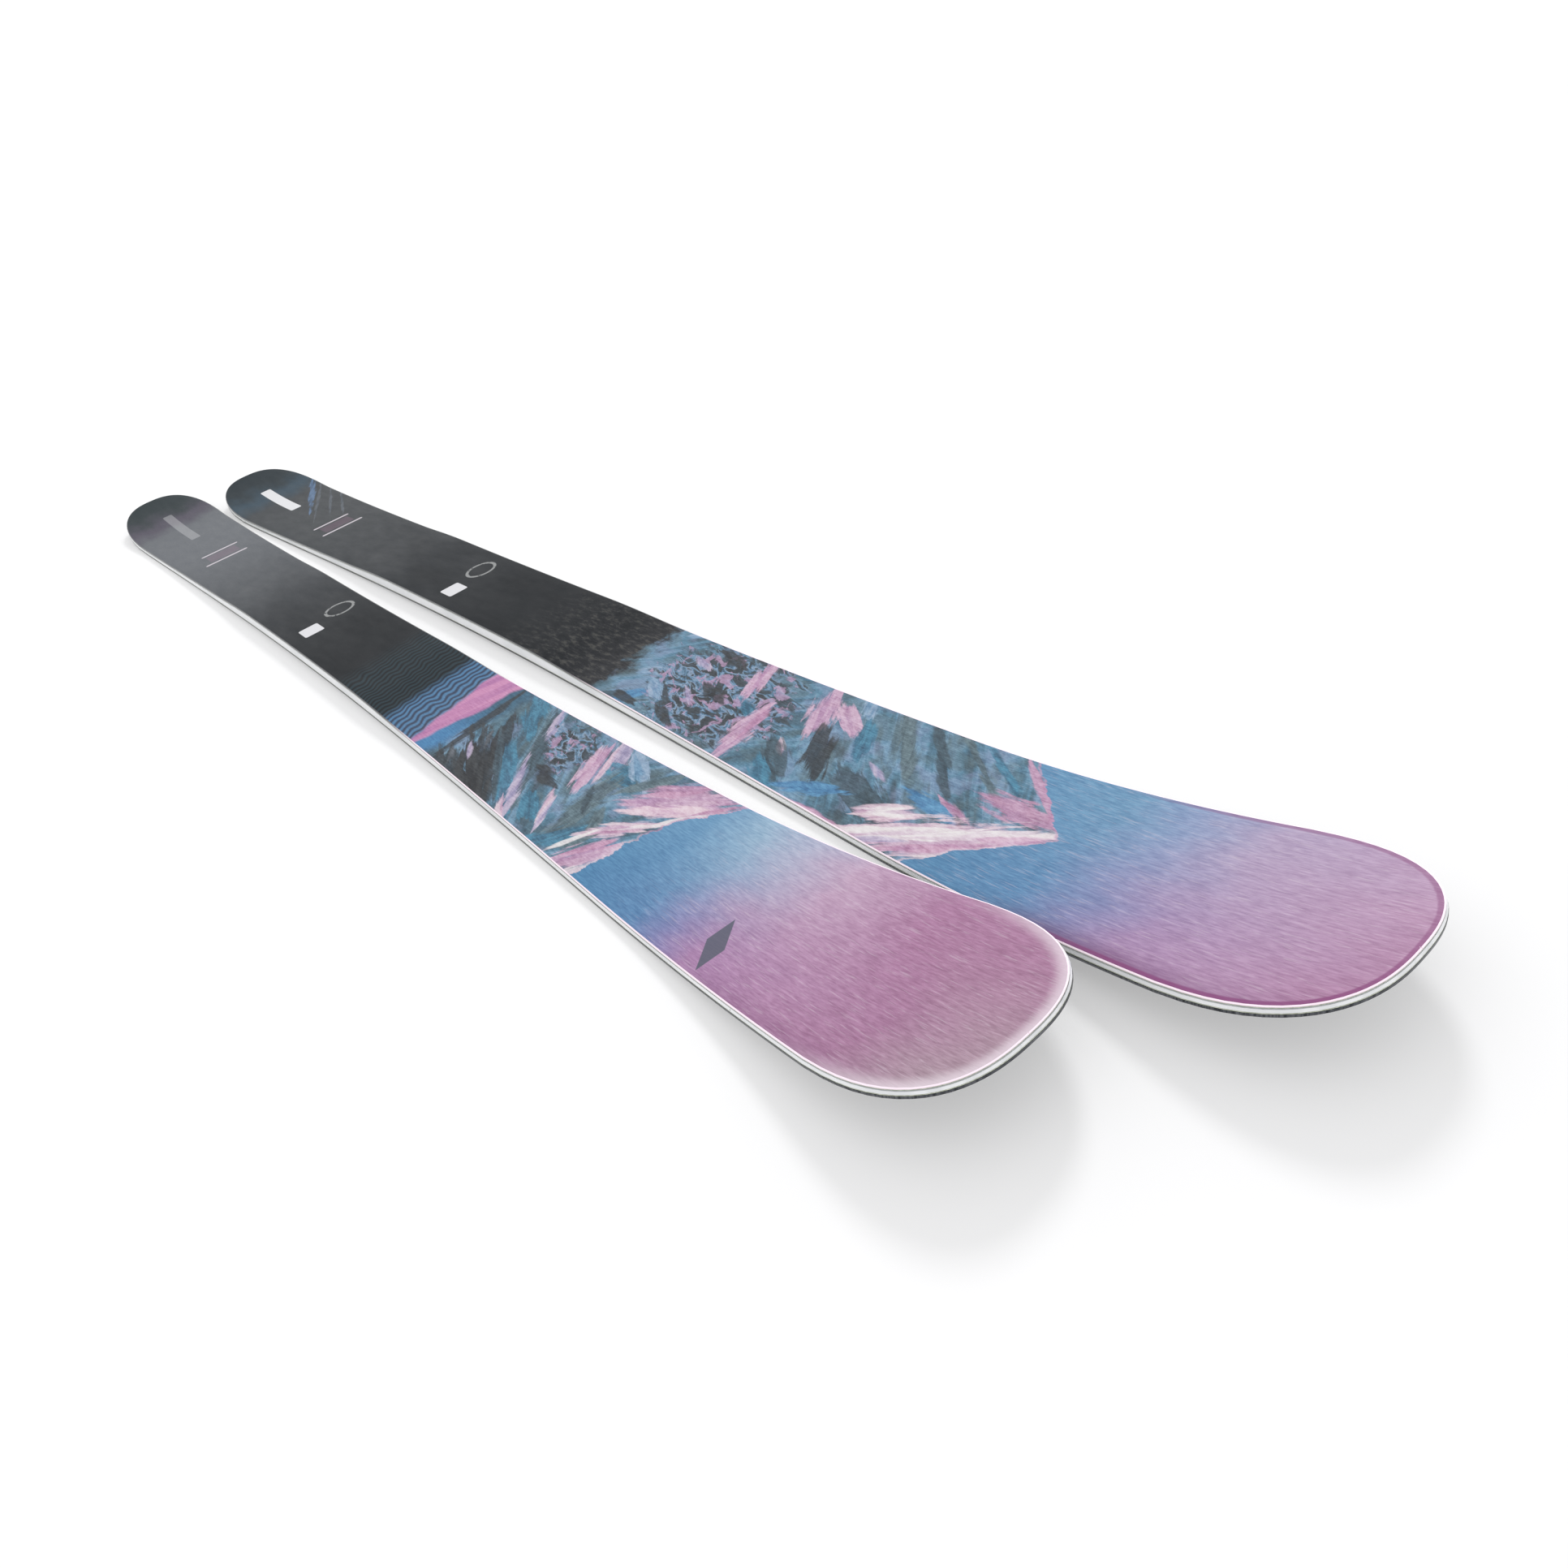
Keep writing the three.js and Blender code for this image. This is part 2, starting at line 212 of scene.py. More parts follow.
def buildPiece(name, hand, rings, materials, across=0, materialOf=None, sharpAngle=28):
    # rings of points in ski millimetres become one closed, smooth-shaded mesh with a "print" map in metres
    bm = bmesh.new()
    layer = bm.loops.layers.uv.new("print")
    rimLayer = bm.loops.layers.uv.new("fromRim") if materialOf else None
    rows = [[bm.verts.new((x * mm, y * mm, z * mm)) for x, y, z in ring] for ring in rings]
    count = len(rings[0])
    for r in range(len(rows) - 1):
        for k in range(count):
            after = (k + 1) % count
            face = bm.faces.new((rows[r][k], rows[r][after], rows[r + 1][after], rows[r + 1][k]))
            face.material_index = materialOf(k) if materialOf else 0
    for corners in endFaces(rows[0], across) + endFaces(rows[-1], across):
        face = bm.faces.new(corners)
        face.material_index = 1 if materialOf else 0
    bmesh.ops.recalc_face_normals(bm, faces=bm.faces)
    if bm.calc_volume(signed=True) < 0:
        bmesh.ops.reverse_faces(bm, faces=bm.faces)
    distances = {v: distanceToRim(v.co.x / mm, v.co.y / mm) * mm for v in bm.verts} if rimLayer else {}
    for face in bm.faces:
        face.smooth = True
        for corner in face.loops:
            spot = corner.vert.co
            corner[layer].uv = (spot.x, spot.y)
            if rimLayer:
                corner[rimLayer].uv = (distances[corner.vert], 0.0)
    for edge in bm.edges:
        edge.smooth = len(edge.link_faces) == 2 and edge.calc_face_angle() < math.radians(sharpAngle)
    mesh = bpy.data.meshes.new(name)
    bm.to_mesh(mesh)
    bm.free()
    mesh.transform(skiPlacement(hand))
    for material in materials:
        mesh.materials.append(material)
    piece = bpy.data.objects.new(name, mesh)
    bpy.context.collection.objects.link(piece)
    return piece


def fullRings(corners, begin=None, end=None, across=1):
    # corners run up the left side as (inset, heightFunction); the ring closes over the mirrored right side
    lines = [insetLine(inset, begin, end) for inset, height in corners]
    rings = []
    for k in range(len(lines[0])):
        left = [(lines[i][k][0], lines[i][k][1], corners[i][1](lines[i][k][0])) for i in range(len(corners))]
        right = [(x, -y, z) for x, y, z in reversed(left)]
        top = [(left[-1][0], left[-1][1] * (1 - 2 * j / across), left[-1][2]) for j in range(1, across)]
        bottom = [(left[0][0], -left[0][1] * (1 - 2 * j / across), left[0][2]) for j in range(1, across)]
        rings.append(left + top + right + bottom)
    return rings


def sideRings(corners, side, begin=None, end=None):
    # a strip along one side; with open ends it runs round to just short of the ski's centre line
    lines = []
    for inset, height in corners:
        line = insetLine(inset, begin, end)
        if begin is None:
            line = [(line[0][0], skiShape["halfSeam"])] + line
        if end is None:
            line = line + [(line[-1][0], skiShape["halfSeam"])]
        lines.append(line)
    return [
        [(lines[i][k][0], side * lines[i][k][1], corners[i][1](lines[i][k][0])) for i in range(len(corners))]
        for k in range(len(lines[0]))
    ]


def up(height):
    return lambda x: undersideAt(x) + height


def down(depth):
    return lambda x: topAt(x) - depth


def tint(red, green, blue):
    # screen colour, 0 to 255, as the linear colour a shader wants
    def linear(value):
        c = value / 255
        return c / 12.92 if c <= 0.04045 else ((c + 0.055) / 1.055) ** 2.4

    return (linear(red), linear(green), linear(blue), 1.0)


class Sketch:
    # a material under construction: lays nodes in a row and wires them

    def __init__(self, name):
        self.material = bpy.data.materials.new(name)
        self.material.use_nodes = True
        self.tree = self.material.node_tree
        self.surface = self.tree.nodes["Principled BSDF"]
        self.column = 0

    def put(self, kind, **settings):
        node = self.tree.nodes.new(kind)
        node.location = (-1600 + 40 * (self.column % 36), 500 - 180 * (self.column // 36))
        self.column += 1
        for key, value in settings.items():
            setattr(node, key, value)
        return node

    def feed(self, socket, value):
        if isinstance(value, bpy.types.NodeSocket):
            self.tree.links.new(value, socket)
        else:
            socket.default_value = value

    def calc(self, operation, a, b=None, c=None, clamp=False):
        node = self.put("ShaderNodeMath", operation=operation, use_clamp=clamp)
        for k, value in enumerate((a, b, c)):
            if value is not None:
                self.feed(node.inputs[k], value)
        return node.outputs[0]

    def times(self, a, b):
        return self.calc("MULTIPLY", a, b)

    def minus(self, a, b):
        return self.calc("SUBTRACT", a, b)

    def timesPlus(self, a, b, c):
        return self.calc("MULTIPLY_ADD", a, b, c)

    def ramp(self, value, low, high):
        # 0 below low, 1 above high, smooth between; low may be above high
        node = self.put("ShaderNodeMapRange", interpolation_type="SMOOTHSTEP")
        if low > high:
            low, high = high, low
            node.inputs["To Min"].default_value, node.inputs["To Max"].default_value = 1.0, 0.0
        self.feed(node.inputs["Value"], value)
        node.inputs["From Min"].default_value, node.inputs["From Max"].default_value = low, high
        return node.outputs["Result"]

    def mix(self, share, under, over, how="MIX"):
        node = self.put("ShaderNodeMix", data_type="RGBA", blend_type=how)
        self.feed(node.inputs["Factor"], share)
        self.feed(node.inputs[6], under)
        self.feed(node.inputs[7], over)
        return node.outputs[2]

    def palette(self, value, stops, hard=False):
        node = self.put("ShaderNodeValToRGB")
        node.color_ramp.interpolation = "CONSTANT" if hard else "LINEAR"
        elements = node.color_ramp.elements
        while len(elements) < len(stops):
            elements.new(0.5)
        for element, (position, colour) in zip(elements, stops):
            element.position = position
            element.color = colour
        self.feed(node.inputs[0], value)
        return node.outputs[0]

    def along(self, value, points):
        # a curve through (position, height) pairs, both between 0 and 1
        node = self.put("ShaderNodeFloatCurve")
        curve = node.mapping.curves[0]
        while len(curve.points) < len(points):
            curve.points.new(0.5, 0.5)
        for point, (position, height) in zip(curve.points, points):
            point.location = (position, height)
            point.handle_type = "VECTOR"
        node.mapping.update()
        self.feed(node.inputs["Value"], value)
        return node.outputs[0]

    def printMap(self):
        node = self.put("ShaderNodeUVMap", uv_map="print")
        parts = self.put("ShaderNodeSeparateXYZ")
        self.feed(parts.inputs[0], node.outputs[0])
        x = self.times(parts.outputs["X"], 1000.0)
        y = self.times(parts.outputs["Y"], 1000.0)
        return node.outputs[0], x, y  # the map in metres, then x and y in millimetres

    def mapPart(self, name):
        node = self.put("ShaderNodeUVMap", uv_map=name)
        parts = self.put("ShaderNodeSeparateXYZ")
        self.feed(parts.inputs[0], node.outputs[0])
        return parts.outputs["X"]

    def stretched(self, where, scale, turn=0.0, shift=(0.0, 0.0)):
        turned = self.put("ShaderNodeMapping")
        turned.inputs["Rotation"].default_value = (0, 0, math.radians(turn))
        turned.inputs["Location"].default_value = (shift[0], shift[1], 0)
        self.feed(turned.inputs["Vector"], where)
        scaled = self.put("ShaderNodeVectorMath", operation="MULTIPLY")
        self.feed(scaled.inputs[0], turned.outputs[0])
        scaled.inputs[1].default_value = (scale[0], scale[1], 1)
        return scaled.outputs[0]

    def noise(self, where, detail=3.0, roughness=0.5, warp=0.0, flat=True):
        node = self.put("ShaderNodeTexNoise", noise_dimensions="2D" if flat else "3D")
        self.feed(node.inputs["Vector"], where)
        node.inputs["Scale"].default_value = 1.0
        node.inputs["Detail"].default_value = detail
        node.inputs["Roughness"].default_value = roughness
        node.inputs["Distortion"].default_value = warp
        return node.outputs["Fac"]

    def bump(self, height, distance, strength=1.0):
        node = self.put("ShaderNodeBump")
        self.feed(node.inputs["Height"], height)
        node.inputs["Distance"].default_value = distance
        node.inputs["Strength"].default_value = strength
        self.feed(self.surface.inputs["Normal"], node.outputs[0])

    def set(self, **values):
        for key, value in values.items():
            self.feed(self.surface.inputs[key.replace("_", " ")], value)
        return self.material


# the layers of each ski from the snow up, in millimetres
stackUp = {
    "edgeHeight": 1.9,
    "lowerLaminate": 0.5,
    "metalSheet": 0.4,
    "upperLaminate": 0.4,
    "topsheet": 0.65,
    "glueLine": 0.15,  # between one layer and the next
    "sideGap": 0.3,  # between neighbours in one layer
}

laminateBottom = stackUp["edgeHeight"] + stackUp["glueLine"]
coreBottom = laminateBottom + stackUp["lowerLaminate"] + stackUp["glueLine"]
upperLaminateDepth = stackUp["topsheet"] + stackUp["glueLine"]
metalDepth = upperLaminateDepth + stackUp["upperLaminate"] + stackUp["glueLine"]
coreDepth = metalDepth + stackUp["metalSheet"] + stackUp["glueLine"]

skis = (("right", -1), ("left", 1))  # the second value says which side of the pair it lies on


def addPiece(label, hand, node, rings, materials, across=0, materialOf=None, sharpAngle=28):
    piece = buildPiece(label + "_" + node + "_fine", hand, rings, materials, across, materialOf, sharpAngle)
    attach(piece, label + "_ski")
    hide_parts(label + "_" + node)


steelEdge = {
    "width": 2.2,
    "flange": 7.0,  # how far the anchor reaches in over the base
    "bevel": 0.25,  # small chamfer on the outer corners
    # both steel tones are darker than bare steel: painted shade on the edges, which sit lowest on each ski;
    # the mix between the tones is wear
    "light": tint(104, 106, 110),
    "dark": tint(52, 54, 58),
    "roughness": 0.3,
    "grind": 0.00003,
}

runningBase = {
    "thickness": 1.2,
    "colour": tint(34, 35, 38),
    "light": tint(52, 53, 57),
    "roughness": 0.42,
    "structure": 0.00005,  # depth of the ground-in pattern, metres
}


def sinteredBase():
    sketch = Sketch("sinteredBase")
    where = sketch.printMap()[0]
    structure = sketch.noise(sketch.stretched(where, (40, 1400), 4), detail=2)
    cross = sketch.noise(sketch.stretched(where, (40, 1400), -4, (5, 5)), detail=2)
    fleck = sketch.noise(sketch.stretched(where, (420, 420)), detail=3, roughness=0.7)
    ground = sketch.times(sketch.calc("ADD", structure, cross), 0.5)
    colour = sketch.mix(sketch.ramp(fleck, 0.5, 0.7), runningBase["colour"], runningBase["light"])
    shine = sketch.timesPlus(ground, 0.2, runningBase["roughness"] - 0.1)
    sketch.bump(ground, runningBase["structure"], 0.6)
    return sketch.set(Base_Color=colour, Roughness=shine)


baseFinish = sinteredBase()
baseInset = steelEdge["width"] + stackUp["sideGap"]
baseCorners = [(baseInset, up(0)), (baseInset, up(runningBase["thickness"]))]
for label, hand in skis:
    addPiece(label, hand, "base", fullRings(baseCorners, across=6), [baseFinish], 6)
print("running bases made")


def groundSteel():
    sketch = Sketch("groundEdgeSteel")
    where = sketch.printMap()[0]
    grind = sketch.noise(sketch.stretched(where, (900, 40)), detail=3, roughness=0.6)
    stain = sketch.noise(sketch.stretched(where, (9, 9)), detail=4)
    worn = sketch.times(sketch.calc("ADD", grind, stain), 0.5)
    colour = sketch.mix(sketch.ramp(worn, 0.38, 0.62), steelEdge["dark"], steelEdge["light"])
    shine = sketch.timesPlus(grind, 0.2, steelEdge["roughness"] - 0.08)
    sketch.bump(grind, steelEdge["grind"], 0.5)
    return sketch.set(Base_Color=colour, Metallic=1.0, Roughness=shine)


edgeFinish = groundSteel()
edgeTop = stackUp["edgeHeight"]
anchorBottom = runningBase["thickness"] + stackUp["glueLine"]
chamfer = steelEdge["bevel"]
edgeCorners = [
    (chamfer, up(0.0)),
    (0.0, up(chamfer)),
    (0.0, up(edgeTop - chamfer / 2)),
    (chamfer / 2, up(edgeTop)),
    (steelEdge["flange"], up(edgeTop)),
    (steelEdge["flange"], up(anchorBottom)),
    (steelEdge["width"], up(anchorBottom)),
    (steelEdge["width"], up(0.0)),
]
for label, hand in skis:
    for node, side in (("edge_right", -1), ("edge_left", 1)):
        addPiece(label, hand, node, sideRings(edgeCorners, side), [edgeFinish])
print("steel edges made")


laminate = {
    "lowerInset": 0.2,
    "upperInset": 1.1,
    "light": tint(196, 200, 184),
    "dark": tint(168, 174, 156),
    "roughness": 0.45,
}


def glassLaminate():
    sketch = Sketch("glassLaminate")
    where = sketch.printMap()[0]
    rovings = sketch.noise(sketch.stretched(where, (24, 760)), detail=2)
    colour = sketch.mix(sketch.ramp(rovings, 0.35, 0.65), laminate["dark"], laminate["light"])
    return sketch.set(Base_Color=colour, Roughness=laminate["roughness"], Coat_Weight=0.2)


glassFinish = glassLaminate()
lowerCorners = [
    (laminate["lowerInset"], up(laminateBottom)),
    (laminate["lowerInset"], up(laminateBottom + stackUp["lowerLaminate"])),
]
upperCorners = [
    (laminate["upperInset"], down(upperLaminateDepth + stackUp["upperLaminate"])),
    (laminate["upperInset"], down(upperLaminateDepth)),
]
for label, hand in skis:
    addPiece(label, hand, "lower_laminate", fullRings(lowerCorners), [glassFinish], 1)
    addPiece(label, hand, "upper_laminate", fullRings(upperCorners), [glassFinish], 1)
print("laminates made")


sidewall = {
    "width": 7.0,
    "foot": 0.2,  # inset at the bottom
    "lean": 1.0,  # inset at the top
    "from": 112.0,  # where the tail spacer ends
    "to": 1562.0,  # where the tip spacer begins
    "colour": tint(226, 227, 229),
    "shadow": tint(214, 216, 218),
    "roughness": 0.36,
    "grind": 0.00003,
}


def sidewallPlastic():
    sketch = Sketch("sidewallPlastic")
    where = sketch.printMap()[0]
    lines = sketch.noise(sketch.stretched(where, (12, 160)), detail=3)
    colour = sketch.mix(sketch.ramp(lines, 0.35, 0.65), sidewall["shadow"], sidewall["colour"])
    shine = sketch.timesPlus(lines, 0.12, sidewall["roughness"] - 0.06)
    sketch.bump(lines, sidewall["grind"], 0.3)
    return sketch.set(Base_Color=colour, Roughness=shine)


def sidewallBelly(x):
    # two fifths of the way up, where the wall is fullest
    bottom = undersideAt(x) + coreBottom
    return bottom + 0.4 * (topAt(x) - coreDepth - bottom)


sidewallFinish = sidewallPlastic()
sidewallCorners = [
    (sidewall["foot"], up(coreBottom)),
    (sidewall["foot"] + 0.1, sidewallBelly),
    (sidewall["lean"], down(coreDepth)),
    (sidewall["width"], down(coreDepth)),
    (sidewall["width"], up(coreBottom)),
]
spacerCorners = [(sidewall["foot"], up(coreBottom)), (sidewall["lean"], down(coreDepth))]
tailRings = fullRings(spacerCorners, None, sidewall["from"] - stackUp["sideGap"])
tipRings = fullRings(spacerCorners, sidewall["to"] + stackUp["sideGap"], None)
for label, hand in skis:
    for node, side in (("sidewall_right", -1), ("sidewall_left", 1)):
        wallRings = sideRings(sidewallCorners, side, sidewall["from"], sidewall["to"])
        addPiece(label, hand, node, wallRings, [sidewallFinish])
    addPiece(label, hand, "tail_spacer", tailRings, [sidewallFinish], 1)
    addPiece(label, hand, "tip_spacer", tipRings, [sidewallFinish], 1)
print("sidewalls and spacers made")


metalSheet = {
    "inset": 1.1,
    "dark": tint(168, 171, 175),
    "light": tint(206, 208, 211),
    "roughness": 0.35,
}


def rolledAlloy(name, mapped=True):
    sketch = Sketch(name)
    where = sketch.printMap()[0] if mapped else sketch.put("ShaderNodeTexCoord").outputs["Object"]
    rolled = sketch.noise(sketch.stretched(where, (18, 700)), detail=3)
    colour = sketch.mix(rolled, metalSheet["dark"], metalSheet["light"])
    shine = sketch.timesPlus(rolled, 0.2, metalSheet["roughness"] - 0.1)
    sketch.bump(rolled, 0.00002, 0.4)
    return sketch.set(Base_Color=colour, Metallic=1.0, Roughness=shine)


metalFinish = rolledAlloy("alloySheet")
metalCorners = [
    (metalSheet["inset"], down(metalDepth + stackUp["metalSheet"])),
    (metalSheet["inset"], down(metalDepth)),
]
for label, hand in skis:
    addPiece(label, hand, "metal_sheet", fullRings(metalCorners), [metalFinish], 1)
print("metal sheets made")


# the core strips, the binding plate and the edge filler keep their frame shape and get finishes
coreStrip = {
    "beech": [(0.3, tint(176, 128, 84)), (0.5, tint(198, 152, 104)), (0.7, tint(212, 170, 124))],
    "poplar": [(0.3, tint(206, 184, 138)), (0.5, tint(224, 205, 162)), (0.7, tint(234, 220, 184))],
    "pore": tint(140, 100, 66),
    "roughness": 0.62,
}
edgeFiller = {"dark": tint(26, 26, 27), "light": tint(44, 44, 45), "roughness": 0.8}


def woodStrip(kind):
    sketch = Sketch(kind + "Strip")
    where = sketch.put("ShaderNodeTexCoord").outputs["Object"]
    grain = sketch.noise(sketch.stretched(where, (5, 260)), detail=4, roughness=0.6, warp=0.4, flat=False)
    pores = sketch.noise(sketch.stretched(where, (60, 1500)), detail=2, flat=False)
    colour = sketch.palette(grain, coreStrip[kind])
    colour = sketch.mix(sketch.ramp(pores, 0.42, 0.32), colour, coreStrip["pore"])
    sketch.bump(pores, 0.00008, 0.5)
    shine = sketch.timesPlus(grain, 0.2, coreStrip["roughness"] - 0.1)
    return sketch.set(Base_Color=colour, Roughness=shine)


def dampingRubber():
    sketch = Sketch("dampingRubber")
    where = sketch.put("ShaderNodeTexCoord").outputs["Object"]
    grain = sketch.noise(sketch.stretched(where, (500, 500)), detail=3, flat=False)
    sketch.bump(grain, 0.00005, 0.6)
    colour = sketch.mix(grain, edgeFiller["dark"], edgeFiller["light"])
    return sketch.set(Base_Color=colour, Roughness=edgeFiller["roughness"])


beech, poplar = woodStrip("beech"), woodStrip("poplar")
innerFinishes = {
    "edge_filler": dampingRubber(),
    "binding_plate": rolledAlloy("bindingPlateAlloy", mapped=False),
}
for index in range(5):
    innerFinishes["core_strip_" + str(index + 1)] = poplar if index % 2 else beech
for label, hand in skis:
    for node, finish in innerFinishes.items():
        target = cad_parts[label + "_" + node]
        target.data.materials.clear()
        target.data.materials.append(finish)
print("inner parts finished")


printLook = {
    "roughness": 0.42,
    "reflection": 0.035,
    "clearCoat": 0.05,
    "clearCoatRoughness": 0.2,
    "brushDepth": 0.00006,
    "ink": (0.7, 0.7, 0.7, 1.0),  # overall strength of the print
    "rimFrom": 1030.0,  # from the tail end, where the bevelled rim turns pale
    "rimTo": 1120.0,
    "rimDark": tint(60, 61, 66),
    "rimPale": tint(234, 218, 228),
    "charcoal": [(0.3, tint(32, 36, 41)), (0.5, tint(42, 46, 51)), (0.7, tint(56, 59, 63))],
    "slope": [
        (0.3, tint(62, 82, 94)), (0.4, tint(74, 110, 130)), (0.48, tint(90, 136, 162)),
        (0.55, tint(120, 158, 186)), (0.62, tint(98, 128, 146)), (0.72, tint(70, 90, 100)),
    ],
    "stones": [
        (0.0, tint(40, 46, 52)), (0.42, tint(58, 70, 78)), (0.46, tint(78, 112, 138)),
        (0.5, tint(104, 144, 176)),
        (0.54, tint(142, 164, 192)), (0.58, tint(88, 106, 118)), (0.61, tint(50, 58, 64)),
    ],
    "deep": tint(20, 24, 29),
    "haze": 0.12,
}

# each paint is a dark and a light tone that the brush streaks run between
paints = {
    "rock": (tint(26, 31, 35), tint(52, 57, 60)),
    "slate": (tint(74, 94, 102), tint(104, 126, 134)),
    "shade": (tint(48, 66, 76), tint(70, 92, 104)),
    "teal": (tint(44, 98, 126), tint(72, 138, 168)),
    "blue": (tint(62, 124, 172), tint(92, 152, 196)),
    "ice": (tint(116, 156, 190), tint(158, 182, 208)),
    "lilac": (tint(166, 156, 192), tint(204, 190, 214)),
    "pink": (tint(196, 150, 186), tint(222, 186, 210)),
    "rose": (tint(184, 134, 170), tint(206, 160, 190)),
    "blush": (tint(214, 176, 202), tint(236, 214, 224)),
    "snow": (tint(224, 206, 220), tint(242, 238, 238)),
    "mist": (tint(74, 100, 132), tint(100, 128, 162)),
    "ash": (tint(76, 84, 94), tint(98, 104, 112)),
}

# millimetres: x from the tail end, y to the skier's left; a stroke is (x, y, x, y, half width, paint)
rightPrint = {
    "tailTip": tint(48, 58, 62),
    "tailTint": tint(84, 80, 94),
    "sheen": tint(104, 108, 114),  # the right tail half is a paler grey
    "sheenSpan": (800, 250),
    # the pale band inside the rim near the tip is a painted highlight on the rounded shoulder, and the shade
    # beside it is painted shade
    "rimHighlightAndBand": {"from": 1600, "to": 1700, "gap": 0.0, "reach": 11.0, "soft": 9.0, "share": 0.75,
               "uneven": 0.0, "shade": 0.25, "tone": tint(232, 218, 228)},
    "nameBar": (155, 1, 76, 6.0),  # centre x, centre y, half length, half width
    "nameBarTone": 0.22,
    "lines": [(338, 4, 2.0, 24), (384, 1, 2.0, 27)],
    "ring": (757, 19, 15, 1.6),  # centre x, centre y, radius, half line width
    "block": (776, -20, 12, 10),
    "ridge": [
        (0.0, 0.04), (0.14, 0.06), (0.27, 0.09), (0.4, 0.1), (0.52, 0.12),
        (0.66, 0.17), (0.8, 0.27), (0.92, 0.34), (1.0, 0.4),
    ],
    "strokes": [
        # the dark flank and the long teal sweeps across it
        (1120, 58, 1142, -66, 7, "rock"), (1138, 56, 1196, 8, 13, "teal"), (1128, 2, 1262, -72, 26, "rock"),
        (1130, -10, 1250, -64, 17, "rock"), (1122, -34, 1262, -78, 26, "rock"),
        (1140, 22, 1304, -72, 9, "teal"),
        (1142, 26, 1206, -34, 13, "rock"), (1146, 12, 1250, -52, 4, "shade"),
        (1150, 2, 1170, -18, 3, "ash"), (1146, -16, 1172, -34, 3, "lilac"),
        (1140, -30, 1160, -46, 3, "ash"), (1164, 62, 1254, -30, 9, "shade"), (1172, 60, 1240, 2, 5, "ice"),
        (1178, 58, 1216, 12, 6, "lilac"), (1208, 6, 1276, -62, 6, "lilac"),
        (1236, -34, 1284, -70, 5, "blush"),
        # broken stones, then the first pink flank
        (1196, 34, 1280, 26, 28, "stones"), (1204, 40, 1262, -4, 14, "stones"),
        (1226, -2, 1276, -10, 8, "rock"),
        (1250, -20, 1296, -44, 11, "teal"), (1262, 54, 1290, -10, 12, "pink"),
        (1270, 56, 1296, 4, 6, "blush"),
        (1268, 62, 1304, 22, 10, "lilac"), (1268, -6, 1304, -46, 5, "blush"),
        (1282, -14, 1306, -52, 3, "lilac"),
        # slate valley
        (1284, 34, 1330, 26, 15, "teal"), (1300, 48, 1322, -64, 13, "slate"),
        (1280, 56, 1344, 24, 8, "ice"), (1318, 10, 1352, 60, 9, "slate"),
        (1300, -66, 1350, -10, 11, "teal"), (1296, 10, 1324, -20, 5, "shade"),
        (1322, 2, 1348, -30, 8, "slate"),
        # bright flank under the ridge
        (1322, 4, 1424, 64, 19, "pink"), (1330, 22, 1392, 64, 9, "rose"), (1336, 0, 1410, 44, 9, "blush"),
        (1366, -2, 1430, 62, 6, "snow"), (1384, 22, 1426, 66, 3, "rose"),
        (1330, -36, 1386, 18, 10, "blush"),
        (1342, -26, 1384, 14, 4, "rose"), (1350, -16, 1392, 20, 3, "snow"),
        (1338, -66, 1384, -12, 14, "pink"),
        (1342, -52, 1372, -14, 6, "rose"), (1328, -58, 1348, -12, 3, "snow"),
        (1356, -66, 1388, -28, 5, "snow"),
        (1338, -46, 1352, -16, 3, "slate"),
    ],
    "slopeTurns": (50, -50, 1280, 1310),  # lean of the streaks before and after, and where it changes
    "skyNear": [
        (0.02, tint(72, 134, 178)), (0.24, tint(88, 136, 182)), (0.32, tint(132, 132, 182)),
        (0.41, tint(172, 130, 174)), (0.6, tint(178, 132, 170)), (0.78, tint(168, 118, 154)),
        (0.95, tint(176, 154, 164)),
    ],
    "skyFar": [
        (0.14, tint(108, 158, 196)), (0.28, tint(152, 184, 210)), (0.4, tint(178, 182, 208)),
        (0.52, tint(198, 166, 194)), (0.72, tint(174, 122, 160)), (0.95, tint(172, 122, 156)),
    ],
}

